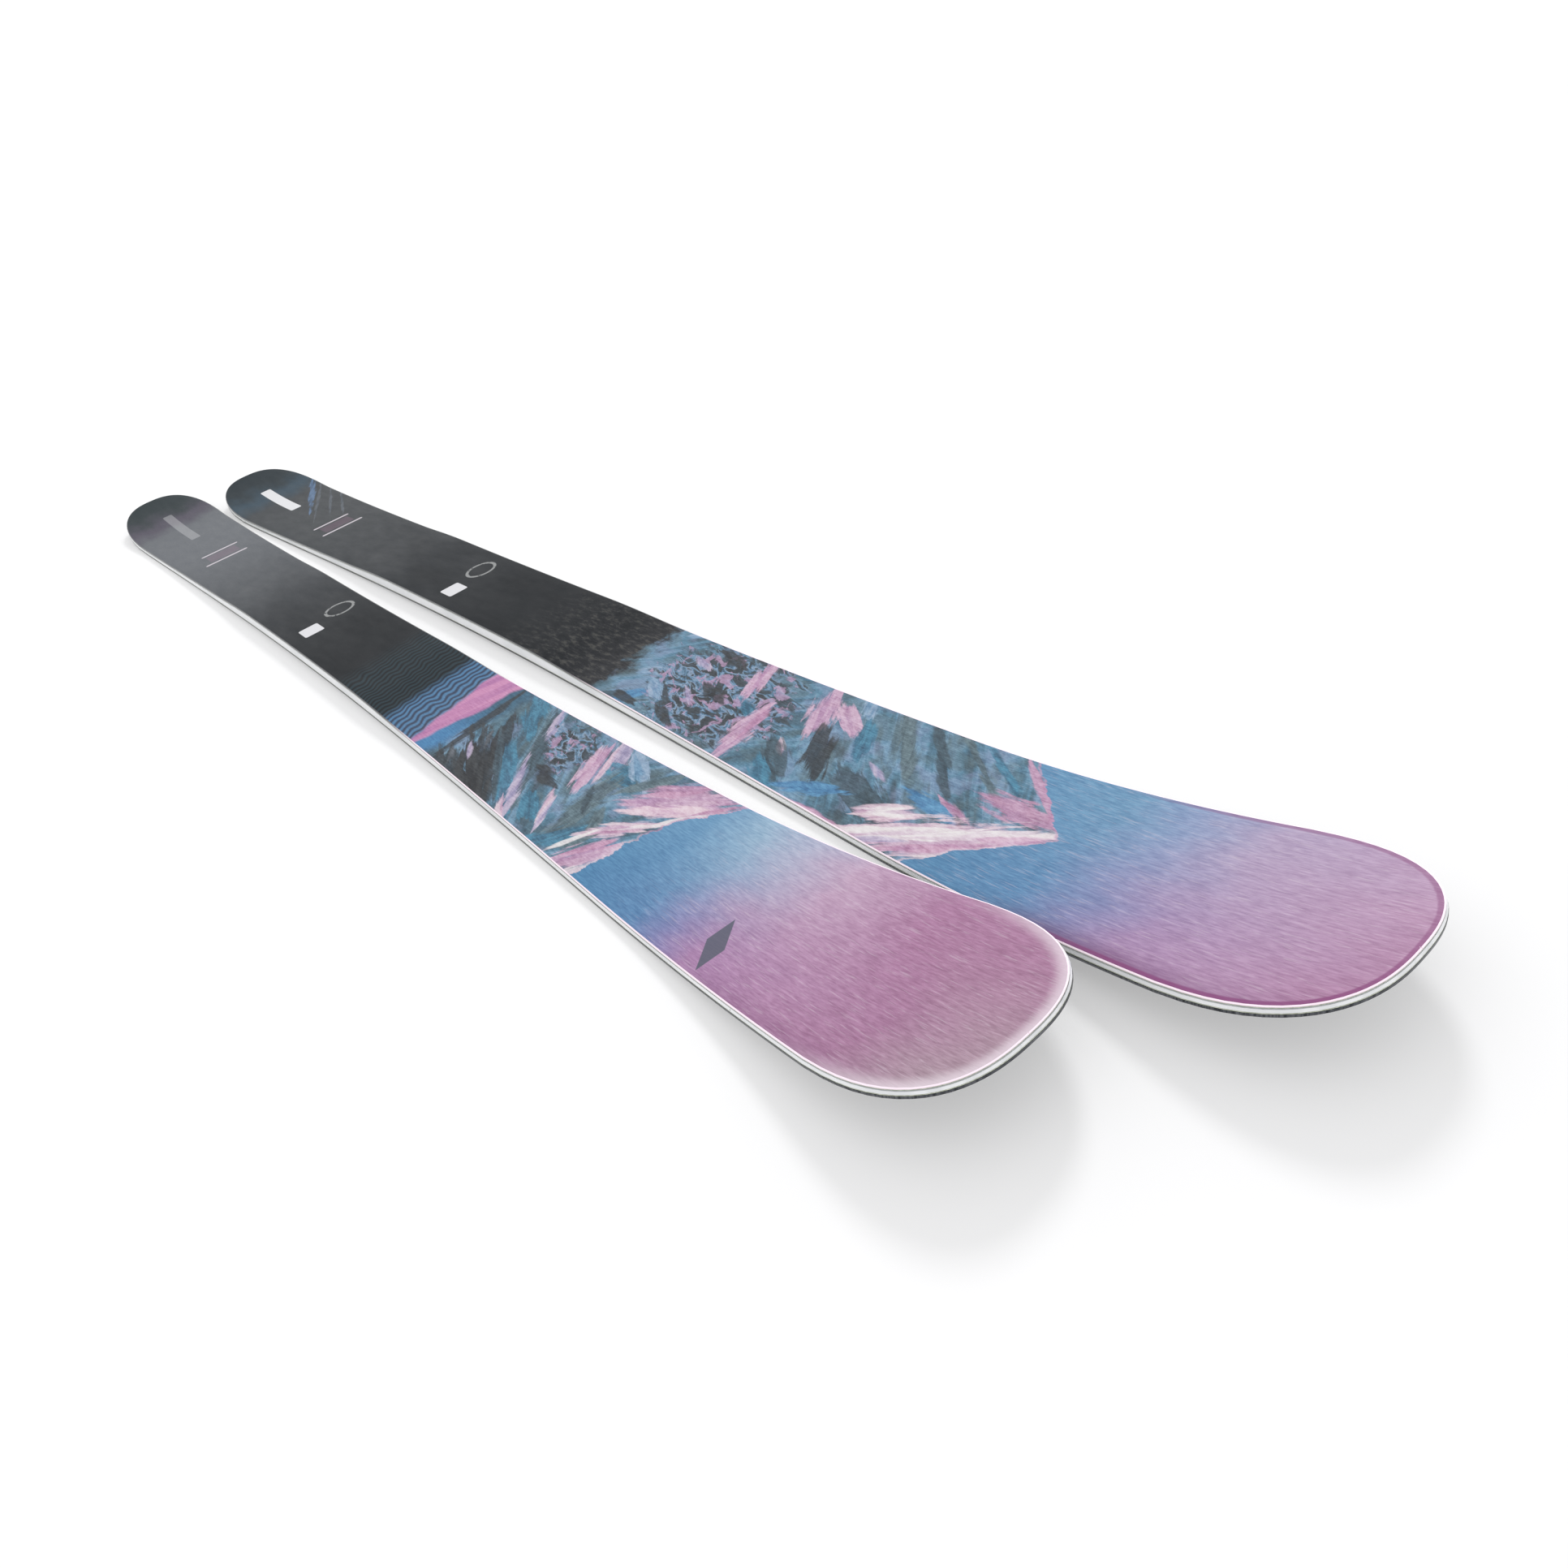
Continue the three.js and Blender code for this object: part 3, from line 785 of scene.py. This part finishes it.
leftPrint = {
    "tailTip": tint(44, 54, 60),
    "tailTint": tint(56, 76, 90),
    "sheen": tint(62, 66, 70),
    "sheenSpan": (700, 300),
    "rimHighlightAndBand": {"from": 1500, "to": 1600, "gap": 2.2, "reach": 5.4, "soft": 1.2, "share": 0.85,
               "uneven": 0.4, "shade": 0.55, "tone": tint(142, 80, 128)},
    "nameBar": (145, -2, 64, 7.0),
    "nameBarTone": 0.95,
    "lines": [(340, 0, 2.0, 24), (382, 0, 2.0, 27)],
    "ring": (747, 18, 15, 1.6),
    "block": (760, -21, 12, 10),
    "ridge": [
        (0.0, 0.44), (0.12, 0.5), (0.25, 0.6), (0.34, 0.67), (0.43, 0.78),
        (0.52, 0.87), (0.6, 0.79), (0.76, 0.66), (0.88, 0.56), (1.0, 0.45),
    ],
    "strokes": [
        # thin streaks over the tail
        (92, 68, 262, -2, 6, "mist"), (130, 66, 306, -12, 3, "ash"), (168, 66, 330, 2, 2.5, "ash"),
        (204, 66, 350, 14, 2.5, "ash"),
        # where the rock begins, and the field of stones
        (1086, 40, 1126, 66, 7, "ice"), (1090, -20, 1140, 22, 9, "ice"), (1096, -60, 1136, -20, 8, "blue"),
        (1080, -66, 1116, -34, 8, "shade"), (1092, 8, 1282, -2, 74, "stones"),
        (1100, 30, 1262, -30, 50, "stones"),
        (1132, 46, 1182, 34, 8, "rock"), (1160, 6, 1204, -8, 9, "rock"), (1150, -34, 1190, -46, 7, "rock"),
        (1098, -38, 1140, -46, 8, "rock"), (1110, -10, 1150, -30, 8, "ice"),
        (1120, 28, 1156, 18, 5, "lilac"),
        (1150, -4, 1180, -22, 4, "lilac"), (1206, 8, 1248, -8, 8, "teal"), (1216, 52, 1256, 62, 12, "teal"),
        (1190, 64, 1214, 2, 10, "pink"), (1234, 26, 1254, -66, 13, "pink"),
        (1240, 18, 1250, -34, 6, "rose"),
        # dark plumes with pink between them
        (1266, 64, 1296, -4, 14, "pink"), (1284, 46, 1330, 14, 12, "pink"),
        (1276, -10, 1296, -26, 4, "blush"),
        (1262, -8, 1322, -52, 12, "shade"), (1286, 22, 1346, -40, 14, "rock"),
        (1274, -30, 1320, -62, 9, "teal"),
        (1296, 62, 1322, 34, 7, "ice"), (1316, 40, 1352, -6, 11, "teal"), (1322, 74, 1402, -8, 9, "slate"),
        (1350, 74, 1450, -20, 6, "shade"), (1374, 70, 1474, 4, 5, "slate"), (1396, 70, 1482, 14, 4, "teal"),
        (1330, -8, 1424, -44, 19, "shade"), (1352, 4, 1384, -8, 4, "lilac"),
        (1306, -52, 1372, -26, 9, "blue"),
        (1390, -2, 1452, -16, 9, "blue"), (1300, -60, 1400, -58, 9, "rose"),
        (1320, -66, 1372, -54, 5, "pink"),
        # rose and snow under the peak
        (1434, 16, 1516, 10, 12, "rose"), (1436, 66, 1520, 2, 5, "rose"), (1418, 2, 1462, -12, 4, "rose"),
        (1352, -84, 1536, 14, 24, "blush"), (1376, -42, 1432, -18, 12, "blush"),
        (1384, -36, 1424, -20, 6, "snow"),
        (1372, -70, 1520, 12, 9, "snow"), (1410, -66, 1500, -10, 6, "rose"),
        (1424, -78, 1490, -26, 8, "snow"),
        (1464, -22, 1522, 2, 6, "pink"), (1394, -64, 1440, -40, 4, "lilac"),
        (1448, -26, 1512, 10, 4, "snow"),
    ],
    "slopeTurns": (-38, 50, 1280, 1320),
    "skyNear": [
        (0.3, tint(84, 138, 180)), (0.46, tint(92, 140, 184)), (0.56, tint(138, 140, 186)),
        (0.66, tint(172, 140, 182)), (0.82, tint(182, 144, 180)), (1.0, tint(178, 124, 160)),
    ],
    "skyFar": [
        (0.3, tint(94, 148, 188)), (0.5, tint(110, 156, 192)), (0.6, tint(142, 162, 200)),
        (0.74, tint(182, 164, 196)), (1.0, tint(194, 156, 188)),
    ],
}


def barMask(sketch, x, y, bar):
    overX = sketch.minus(sketch.calc("ABSOLUTE", sketch.minus(x, bar[0])), bar[2])
    overY = sketch.minus(sketch.calc("ABSOLUTE", sketch.minus(y, bar[1])), bar[3])
    return sketch.ramp(sketch.calc("SMOOTH_MAX", overX, overY, 4.0), 0.8, 0.1)


def ringMask(sketch, x, y, ring):
    dx = sketch.minus(x, ring[0])
    dy = sketch.minus(y, ring[1])
    away = sketch.calc("SQRT", sketch.calc("ADD", sketch.times(dx, dx), sketch.times(dy, dy)))
    return sketch.ramp(sketch.minus(sketch.calc("ABSOLUTE", sketch.minus(away, ring[2])), ring[3]), 0.5, -0.5)


class Brush:
    # paints leaf-shaped strokes whose edges and tone break up along the stroke

    def __init__(self, sketch, where, x, y):
        self.sketch, self.where, self.x, self.y = sketch, where, x, y
        self.hairs = {}

    def hairsAlong(self, angle):
        step = round(angle / 30) * 30  # strokes that lean alike share one set of streaks
        if step not in self.hairs:
            spot = self.sketch.stretched(self.where, (26, 150), -step, (step / 10, 1))
            self.hairs[step] = self.sketch.noise(spot, detail=5, roughness=0.62, warp=0.3)
        return self.hairs[step]

    def stroke(self, colour, stroke, special):
        sketch = self.sketch
        x0, y0, x1, y1, half, paint = stroke
        length = math.hypot(x1 - x0, y1 - y0)
        c, s = (x1 - x0) / length, (y1 - y0) / length
        hairs = self.hairsAlong(math.degrees(math.atan2(y1 - y0, x1 - x0)))
        along = sketch.timesPlus(self.x, c / length, -(x0 * c + y0 * s) / length)
        along = sketch.timesPlus(self.y, s / length, along)
        across = sketch.timesPlus(self.x, -s, x0 * s - y0 * c)
        across = sketch.timesPlus(self.y, c, across)
        taper = sketch.times(along, sketch.minus(1.0, along))
        width = sketch.timesPlus(taper, 4.0 * half, -1.15 * half)
        width = sketch.timesPlus(hairs, 2.1 * half, width)
        inside = sketch.minus(width, sketch.calc("ABSOLUTE", across))
        share = sketch.ramp(inside, -0.4, 0.6 + 0.3 * half)
        share = sketch.times(share, 0.88)
        if paint in special:
            return sketch.mix(share, colour, special[paint])
        tone = sketch.mix(sketch.ramp(hairs, 0.38, 0.62), paints[paint][0], paints[paint][1])
        return sketch.mix(share, colour, tone)


def charcoalGround(sketch, where, x, look):
    cloud = sketch.noise(sketch.stretched(where, (7, 22)), detail=5, roughness=0.6)
    colour = sketch.palette(cloud, printLook["charcoal"])
    colour = sketch.mix(sketch.times(sketch.ramp(x, 560, 880), 0.75), colour, printLook["deep"])
    colour = sketch.mix(sketch.ramp(x, *look["sheenSpan"]), colour, look["sheen"])
    # a tint just ahead of the dark tail tip
    wander = sketch.noise(sketch.stretched(where, (16, 26), shift=(3, 1)), detail=4)
    tail = sketch.timesPlus(wander, 90.0, sketch.minus(x, 45.0))
    colour = sketch.mix(sketch.ramp(tail, 170, 100), colour, look["tailTint"])
    return sketch.mix(sketch.ramp(tail, 105, 45), colour, look["tailTip"])


mountain = {
    "foot": 1360,  # where the ridge line and the sky are measured from
    "sky": 360,  # from there to the tip end
    "height": 180,  # what a ridge value of 1 stands for
    "halfWidth": 70,
    "teeth": 16,  # how ragged the ridge is
}

# where each band starts and is full, from the tail end
dusk = {
    "contours": (905, 950),
    "blueContours": (1022, 1042),
    "pinkSweep": (1078, 1084),
    "blueSweep": (1106, 1112),
    "rock": (1122, 1142),
}

lozenge = {"x": 1498, "y": -37, "lean": 0.38, "slimness": 0.44, "size": (9.2, 8.6)}


def skyPaint(sketch, where, x, y, look):
    wash = sketch.noise(sketch.stretched(where, (5, 16), shift=(1, 5)), detail=4, roughness=0.6)
    t = sketch.calc("DIVIDE", sketch.minus(x, mountain["foot"]), mountain["sky"])
    t = sketch.timesPlus(sketch.minus(wash, 0.5), 0.16, t)
    near = sketch.palette(t, look["skyNear"])
    far = sketch.palette(t, look["skyFar"])
    return sketch.mix(sketch.ramp(y, -55, 50), near, far)


def slopePaint(sketch, where, x, look):
    before, after, begin, end = look["slopeTurns"]
    low = sketch.noise(sketch.stretched(where, (9, 52), before, (2, 3)), detail=4, roughness=0.52, warp=0.4)
    high = sketch.noise(sketch.stretched(where, (9, 52), after, (7, 1)), detail=4, roughness=0.52, warp=0.4)
    split = sketch.ramp(x, begin, end)
    value = sketch.times(low, sketch.minus(1.0, split))
    value = sketch.timesPlus(high, split, value)
    grit = sketch.noise(sketch.stretched(where, (120, 170), 30), detail=5, roughness=0.7)
    value = sketch.timesPlus(sketch.minus(grit, 0.5), 0.1, value)
    colour = sketch.palette(value, printLook["slope"])
    drift = sketch.noise(sketch.stretched(where, (26, 34), 20, (5, 5)), detail=3)
    colour = sketch.mix(sketch.times(sketch.ramp(drift, 0.5, 0.62), 0.5), colour, tint(86, 110, 118))
    return sketch.mix(sketch.times(sketch.ramp(drift, 0.48, 0.36), 0.45), colour, tint(134, 152, 186))


def stonesPaint(sketch, where, hand):
    spot = sketch.stretched(where, (44, 92), 12, (4 + hand, 9))
    blobs = sketch.noise(spot, detail=4, roughness=0.55, warp=0.6)
    fine = sketch.noise(sketch.stretched(where, (150, 260), 20, (1, 2)), detail=3)
    value = sketch.timesPlus(sketch.minus(fine, 0.5), 0.2, blobs)
    spot = sketch.stretched(where, (60, 90), 30, (6, 3 + hand))
    flush = sketch.noise(spot, detail=4, roughness=0.6, warp=0.6)
    flush = sketch.times(sketch.ramp(flush, 0.54, 0.6), 0.75)
    return sketch.mix(flush, sketch.palette(value, printLook["stones"]), tint(190, 156, 190))


def ridgeAt(sketch, where, y, look):
    share = sketch.calc("DIVIDE", sketch.calc("ADD", y, mountain["halfWidth"]), 2 * mountain["halfWidth"])
    height = sketch.along(share, look["ridge"])
    teeth = sketch.noise(sketch.stretched(where, (8, 90), shift=(2, 7)), detail=5, roughness=0.65)
    ridge = sketch.timesPlus(height, mountain["height"], mountain["foot"])
    return sketch.timesPlus(sketch.minus(teeth, 0.5), mountain["teeth"], ridge)


def duskBand(sketch, where, x, y, colour):
    # contour lines that turn blue, then a pink and a blue sweep before the rock
    bend = sketch.noise(sketch.stretched(where, (14, 22), shift=(6, 4)), detail=2)
    bent = sketch.timesPlus(bend, 20, sketch.timesPlus(y, 0.22, x))
    ripple = sketch.times(sketch.calc("SINE", sketch.times(y, 0.42)), 1.1)
    wave = sketch.calc("SINE", sketch.timesPlus(bent, 0.9, ripple))
    wave = sketch.timesPlus(wave, 0.5, 0.5)
    dark = sketch.palette(wave, [(0.2, tint(26, 31, 36)), (0.8, tint(42, 58, 66))])
    blue = sketch.palette(wave, [(0.15, tint(52, 68, 94)), (0.85, tint(84, 130, 170))])
    lean = sketch.timesPlus(y, 0.12, x)
    lines = sketch.mix(sketch.ramp(lean, *dusk["blueContours"]), dark, blue)
    colour = sketch.mix(sketch.ramp(lean, *dusk["contours"]), colour, lines)
    start = sketch.timesPlus(y, 0.22, x)
    start = sketch.timesPlus(sketch.minus(bend, 0.5), 20, start)
    sweep = sketch.noise(sketch.stretched(where, (60, 8), 12, (1, 1)), detail=3)
    pink = sketch.palette(sweep, [(0.4, tint(184, 120, 172)), (0.6, tint(210, 146, 188))])
    colour = sketch.mix(sketch.ramp(start, *dusk["pinkSweep"]), colour, pink)
    return colour, sketch.timesPlus(y, -0.42, start)


def tailSide(sketch, where, x, y, colour, look, hand):
    # what leads up to the mountain
    slope = slopePaint(sketch, where, x, look)
    if hand < 0:
        colour, start = duskBand(sketch, where, x, y, colour)
        shade = sketch.mix(sketch.ramp(y, 30, -35), tint(54, 98, 124), tint(68, 132, 182))
        colour = sketch.mix(sketch.ramp(start, *dusk["blueSweep"]), colour, shade)
        return sketch.mix(sketch.ramp(start, *dusk["rock"]), colour, slope)
    rough = sketch.noise(sketch.stretched(where, (70, 210), shift=(2, 2)), detail=5, roughness=0.7)
    barkTones = [(0.36, tint(22, 26, 31)), (0.52, tint(38, 40, 44)), (0.68, tint(72, 72, 70))]
    bark = sketch.palette(rough, barkTones)
    colour = sketch.mix(sketch.ramp(x, 880, 1000), colour, bark)
    drift = sketch.noise(sketch.stretched(where, (24, 30), shift=(9, 9)), detail=5, roughness=0.65)
    start = sketch.timesPlus(sketch.minus(drift, 0.5), 90, x)
    return sketch.mix(sketch.ramp(start, 1066, 1088), colour, slope)


def plainMarks(sketch, where, x, y, colour, look, hand):
    # plain shapes where a real pair carries its lettering
    worn = sketch.ramp(sketch.noise(sketch.stretched(where, (260, 260)), detail=2), 0.3, 0.42)
    bar = sketch.times(barMask(sketch, x, y, look["nameBar"]), look["nameBarTone"])
    colour = sketch.mix(bar, colour, tint(236, 237, 240))
    first, second = look["lines"]
    centre = ((first[0] + second[0]) / 2, (first[1] + second[1]) / 2)
    between = (*centre, (second[0] - first[0]) / 2 - 8, first[3] - 5)
    colour = sketch.mix(sketch.times(barMask(sketch, x, y, between), 0.16), colour, tint(176, 130, 160))
    for line in (first, second):
        colour = sketch.mix(sketch.times(barMask(sketch, x, y, line), 0.85), colour, tint(218, 210, 218))
    ring = sketch.times(ringMask(sketch, x, y, look["ring"]), sketch.times(worn, 0.6))
    colour = sketch.mix(ring, colour, tint(188, 190, 190))
    colour = sketch.mix(sketch.times(barMask(sketch, x, y, look["block"]), 0.95), colour, tint(232, 232, 236))
    if hand > 0:
        return colour
    # a small dark lozenge near the tip
    dx = sketch.timesPlus(y, lozenge["lean"], sketch.minus(x, lozenge["x"]))
    dx = sketch.calc("ABSOLUTE", dx)
    dy = sketch.calc("ABSOLUTE", sketch.minus(y, lozenge["y"]))
    shape = sketch.ramp(sketch.timesPlus(dy, lozenge["slimness"], dx), *lozenge["size"])
    return sketch.mix(sketch.times(shape, 0.9), colour, tint(92, 98, 112))


def topsheetPrint(name, look, hand):
    contrast = [(0.35, tint(92, 92, 92)), (0.5, tint(188, 188, 188)), (0.65, tint(243, 243, 243))]
    sketch = Sketch(name)
    where, x, y = sketch.printMap()
    colour = charcoalGround(sketch, where, x, look)
    colour = tailSide(sketch, where, x, y, colour, look, hand)
    brush = Brush(sketch, where, x, y)
    special = {"stones": stonesPaint(sketch, where, hand)}
    for stroke in look["strokes"]:
        colour = brush.stroke(colour, stroke, special)
    depth = sketch.minus(ridgeAt(sketch, where, y, look), x)
    crest = sketch.mix(sketch.ramp(y, -20, 10), paints["snow"][0], paints["pink"][0])
    colour = sketch.mix(sketch.times(sketch.ramp(depth, 3.4, 1.2), 0.6), colour, crest)
    grit = sketch.noise(sketch.stretched(where, (150, 230), 25, (3, 8)), detail=5, roughness=0.7)
    grit = sketch.palette(grit, contrast)
    colour = sketch.mix(sketch.times(sketch.ramp(x, 1080, 1150), 0.36), colour, grit, "SOFT_LIGHT")
    colour = sketch.mix(sketch.ramp(depth, 0.6, -0.6), colour, skyPaint(sketch, where, x, y, look))
    painted = sketch.ramp(x, 1000, 1120)
    colour = sketch.mix(sketch.times(painted, printLook["haze"]), colour, tint(150, 148, 152))
    # fine bristle lines along the ski, strongest in the painted half
    stroke = sketch.noise(sketch.stretched(where, (46, 760), 2.5, (1, 2)), detail=4, roughness=0.7, warp=0.2)
    fibre = sketch.noise(sketch.stretched(where, (150, 900), -4, (6, 2)), detail=2)
    bristle = sketch.calc("ADD", sketch.times(stroke, 0.55), sketch.times(fibre, 0.45))
    bristle = sketch.palette(bristle, contrast)
    colour = sketch.mix(sketch.timesPlus(painted, 0.2, 0.1), colour, bristle, "SOFT_LIGHT")
    mottle = sketch.noise(sketch.stretched(where, (60, 240), 8, (4, 9)), detail=4, roughness=0.7)
    mottle = sketch.palette(mottle, contrast)
    colour = sketch.mix(sketch.times(sketch.ramp(x, 1330, 1450), 0.16), colour, mottle, "SOFT_LIGHT")
    scratch = sketch.noise(sketch.stretched(where, (44, 820), 3, (8, 3)), detail=3, roughness=0.7)
    scratch = sketch.times(sketch.ramp(scratch, 0.55, 0.72), sketch.ramp(x, 1400, 1500))
    colour = sketch.mix(sketch.times(scratch, 0.26), colour, tint(226, 212, 224))
    fromRim = sketch.times(sketch.mapPart("fromRim"), 1000.0)
    edge = look["rimHighlightAndBand"]  # the band just inside the rim, near the tip: on the right ski a painted highlight, where light falls on the rounded shoulder; on the left ski a dark band
    rimHighlightAndBand = sketch.ramp(fromRim, edge["reach"], edge["reach"] - edge["soft"])
    rimHighlightAndBand = sketch.times(rimHighlightAndBand, sketch.ramp(fromRim, edge["gap"] - 0.6, edge["gap"] + 0.4))
    rimHighlightAndBand = sketch.times(rimHighlightAndBand, sketch.ramp(x, edge["from"], edge["to"]))
    rightSide = sketch.ramp(y, 30, -50)  # the band and the painted shade are stronger on the right
    rimHighlightAndBand = sketch.times(rimHighlightAndBand, sketch.timesPlus(rightSide, edge["uneven"], 1 - edge["uneven"]))
    shade = sketch.times(sketch.ramp(fromRim, 17, 1), sketch.times(rightSide, sketch.ramp(x, 1720, 1600)))
    shade = sketch.times(shade, sketch.ramp(x, 1500, 1550))
    colour = sketch.mix(sketch.times(shade, edge["shade"]), colour, tint(112, 62, 106))
    colour = sketch.mix(sketch.times(rimHighlightAndBand, edge["share"]), colour, edge["tone"])
    colour = plainMarks(sketch, where, x, y, colour, look, hand)
    colour = sketch.mix(1.0, colour, printLook["ink"], "MULTIPLY")
    finish = sketch.noise(sketch.stretched(where, (30, 90)), detail=3)
    shine = sketch.timesPlus(finish, 0.16, printLook["roughness"] - 0.08)
    sketch.bump(bristle, printLook["brushDepth"], 0.5)
    return sketch.set(
        Base_Color=colour,
        Roughness=shine,
        Specular_IOR_Level=printLook["reflection"],
        Coat_Weight=printLook["clearCoat"],
        Coat_Roughness=printLook["clearCoatRoughness"],
    )


def topsheetRim():
    # the bevelled cut edge of the topsheet: dark along the tail half, pale and pearly towards the tip
    sketch = Sketch("topsheetRim")
    where, x = sketch.printMap()[:2]
    fleck = sketch.noise(sketch.stretched(where, (60, 300)), detail=3)
    pale = sketch.mix(sketch.times(fleck, 0.5), printLook["rimPale"], tint(214, 196, 210))
    colour = sketch.mix(sketch.ramp(x, printLook["rimFrom"], printLook["rimTo"]), printLook["rimDark"], pale)
    return sketch.set(Base_Color=colour, Roughness=sketch.timesPlus(fleck, 0.2, 0.2), Coat_Weight=0.3)


topsheet = {
    "inset": 1.1,
    "rim": 0.2,  # upright part below the bevel
    "bevel": 1.4,
    "across": 10,  # facets over the printed face
}


def topsheetCorners():
    # upright rim, rounded bevel, then the printed face
    fall = stackUp["topsheet"] - topsheet["rim"]
    inset, bevel = topsheet["inset"], topsheet["bevel"]
    return [
        (inset, down(stackUp["topsheet"])),
        (inset, down(fall)),
        (inset + bevel * 0.3, down(fall * 0.52)),
        (inset + bevel * 0.62, down(fall * 0.18)),
        (inset + bevel, down(0.0)),
    ]


def topsheetMaterial(k):
    # the level facets and the last of the bevel on each side carry the print
    first = len(topsheetCorners()) - 2
    return 0 if first <= k <= first + topsheet["across"] + 1 else 1


rimFinish = topsheetRim()
prints = {
    "right": topsheetPrint("rightTopsheetPrint", rightPrint, -1),
    "left": topsheetPrint("leftTopsheetPrint", leftPrint, 1),
}
for label, hand in skis:
    across = topsheet["across"]
    topRings = fullRings(topsheetCorners(), across=across)
    finishes = [prints[label], rimFinish]
    addPiece(label, hand, "topsheet", topRings, finishes, across, topsheetMaterial, 60)
print("topsheets made")


studio = {
    "floor": tint(180, 180, 181),
    "floorGlow": 0.37,  # a lit table: it keeps the shadows pale
    "world": 1.1,
    "sunPower": 1.75,
    "sunSpread": 12.0,  # degrees, for soft shadows
    "sunFrom": (-0.52, 0.64, 0.62),
}

floorMesh = bpy.data.meshes.new("studioFloor")
floorMesh.from_pydata([(-14, -14, 0), (14, -14, 0), (14, 14, 0), (-14, 14, 0)], [], [(0, 1, 2, 3)])
studioFloor = bpy.data.objects.new("studioFloor", floorMesh)
studioFloor.location.z = -0.0003
bpy.context.collection.objects.link(studioFloor)
floorSketch = Sketch("paleFloor")
floorSpot = floorSketch.put("ShaderNodeTexCoord").outputs["Object"]
floorCloud = floorSketch.noise(floorSketch.stretched(floorSpot, (1.5, 1.5)), detail=2)
floorMesh.materials.append(floorSketch.set(
    Base_Color=floorSketch.mix(floorCloud, studio["floor"], tint(178, 178, 179)),
    Roughness=0.8,
    Emission_Color=(1.0, 1.0, 1.0, 1.0),
    Emission_Strength=studio["floorGlow"],
))

world = bpy.data.worlds.new("studioWorld")
bpy.context.scene.world = world
world.use_nodes = True
world.node_tree.nodes["Background"].inputs["Color"].default_value = (1.0, 1.0, 1.0, 1.0)
world.node_tree.nodes["Background"].inputs["Strength"].default_value = studio["world"]


lamp = bpy.data.lights.new("softSun", "SUN")
lamp.energy = studio["sunPower"]
lamp.angle = math.radians(studio["sunSpread"])
softSun = bpy.data.objects.new("softSun", lamp)
softSun.rotation_euler = Vector(studio["sunFrom"]).to_track_quat("Z", "Y").to_euler()
softSun.visible_glossy = False  # it shades and casts shadows but leaves no hot spot on the print
bpy.context.collection.objects.link(softSun)

cameraSetup = {
    "at": (1.0799, -0.3029, 0.4507),
    "heading": 2.62315,  # radians, direction of view in plan
    "dip": 0.5961,  # radians below level
    "roll": -0.304,
    "lens": 27.256,
}


def placeCamera(setup):
    heading, dip, roll = setup["heading"], setup["dip"], setup["roll"]
    forward = Vector((math.cos(heading) * math.cos(dip), math.sin(heading) * math.cos(dip), -math.sin(dip)))
    level = forward.cross(Vector((0, 0, 1))).normalized()
    upright = level.cross(forward)
    side = math.cos(roll) * level + math.sin(roll) * upright
    top = -math.sin(roll) * level + math.cos(roll) * upright
    lens = bpy.data.cameras.new("studioCamera")
    lens.lens = setup["lens"]
    lens.sensor_width = 36.0
    lens.clip_start = 0.01
    holder = bpy.data.objects.new("studioCamera", lens)
    turn = Matrix((side, top, -forward)).transposed().to_4x4()
    holder.matrix_world = Matrix.Translation(setup["at"]) @ turn
    bpy.context.collection.objects.link(holder)
    bpy.context.scene.camera = holder


placeCamera(cameraSetup)
bpy.context.scene.view_settings.view_transform = "Standard"
bpy.context.scene.view_settings.look = "None"
print("studio ready")
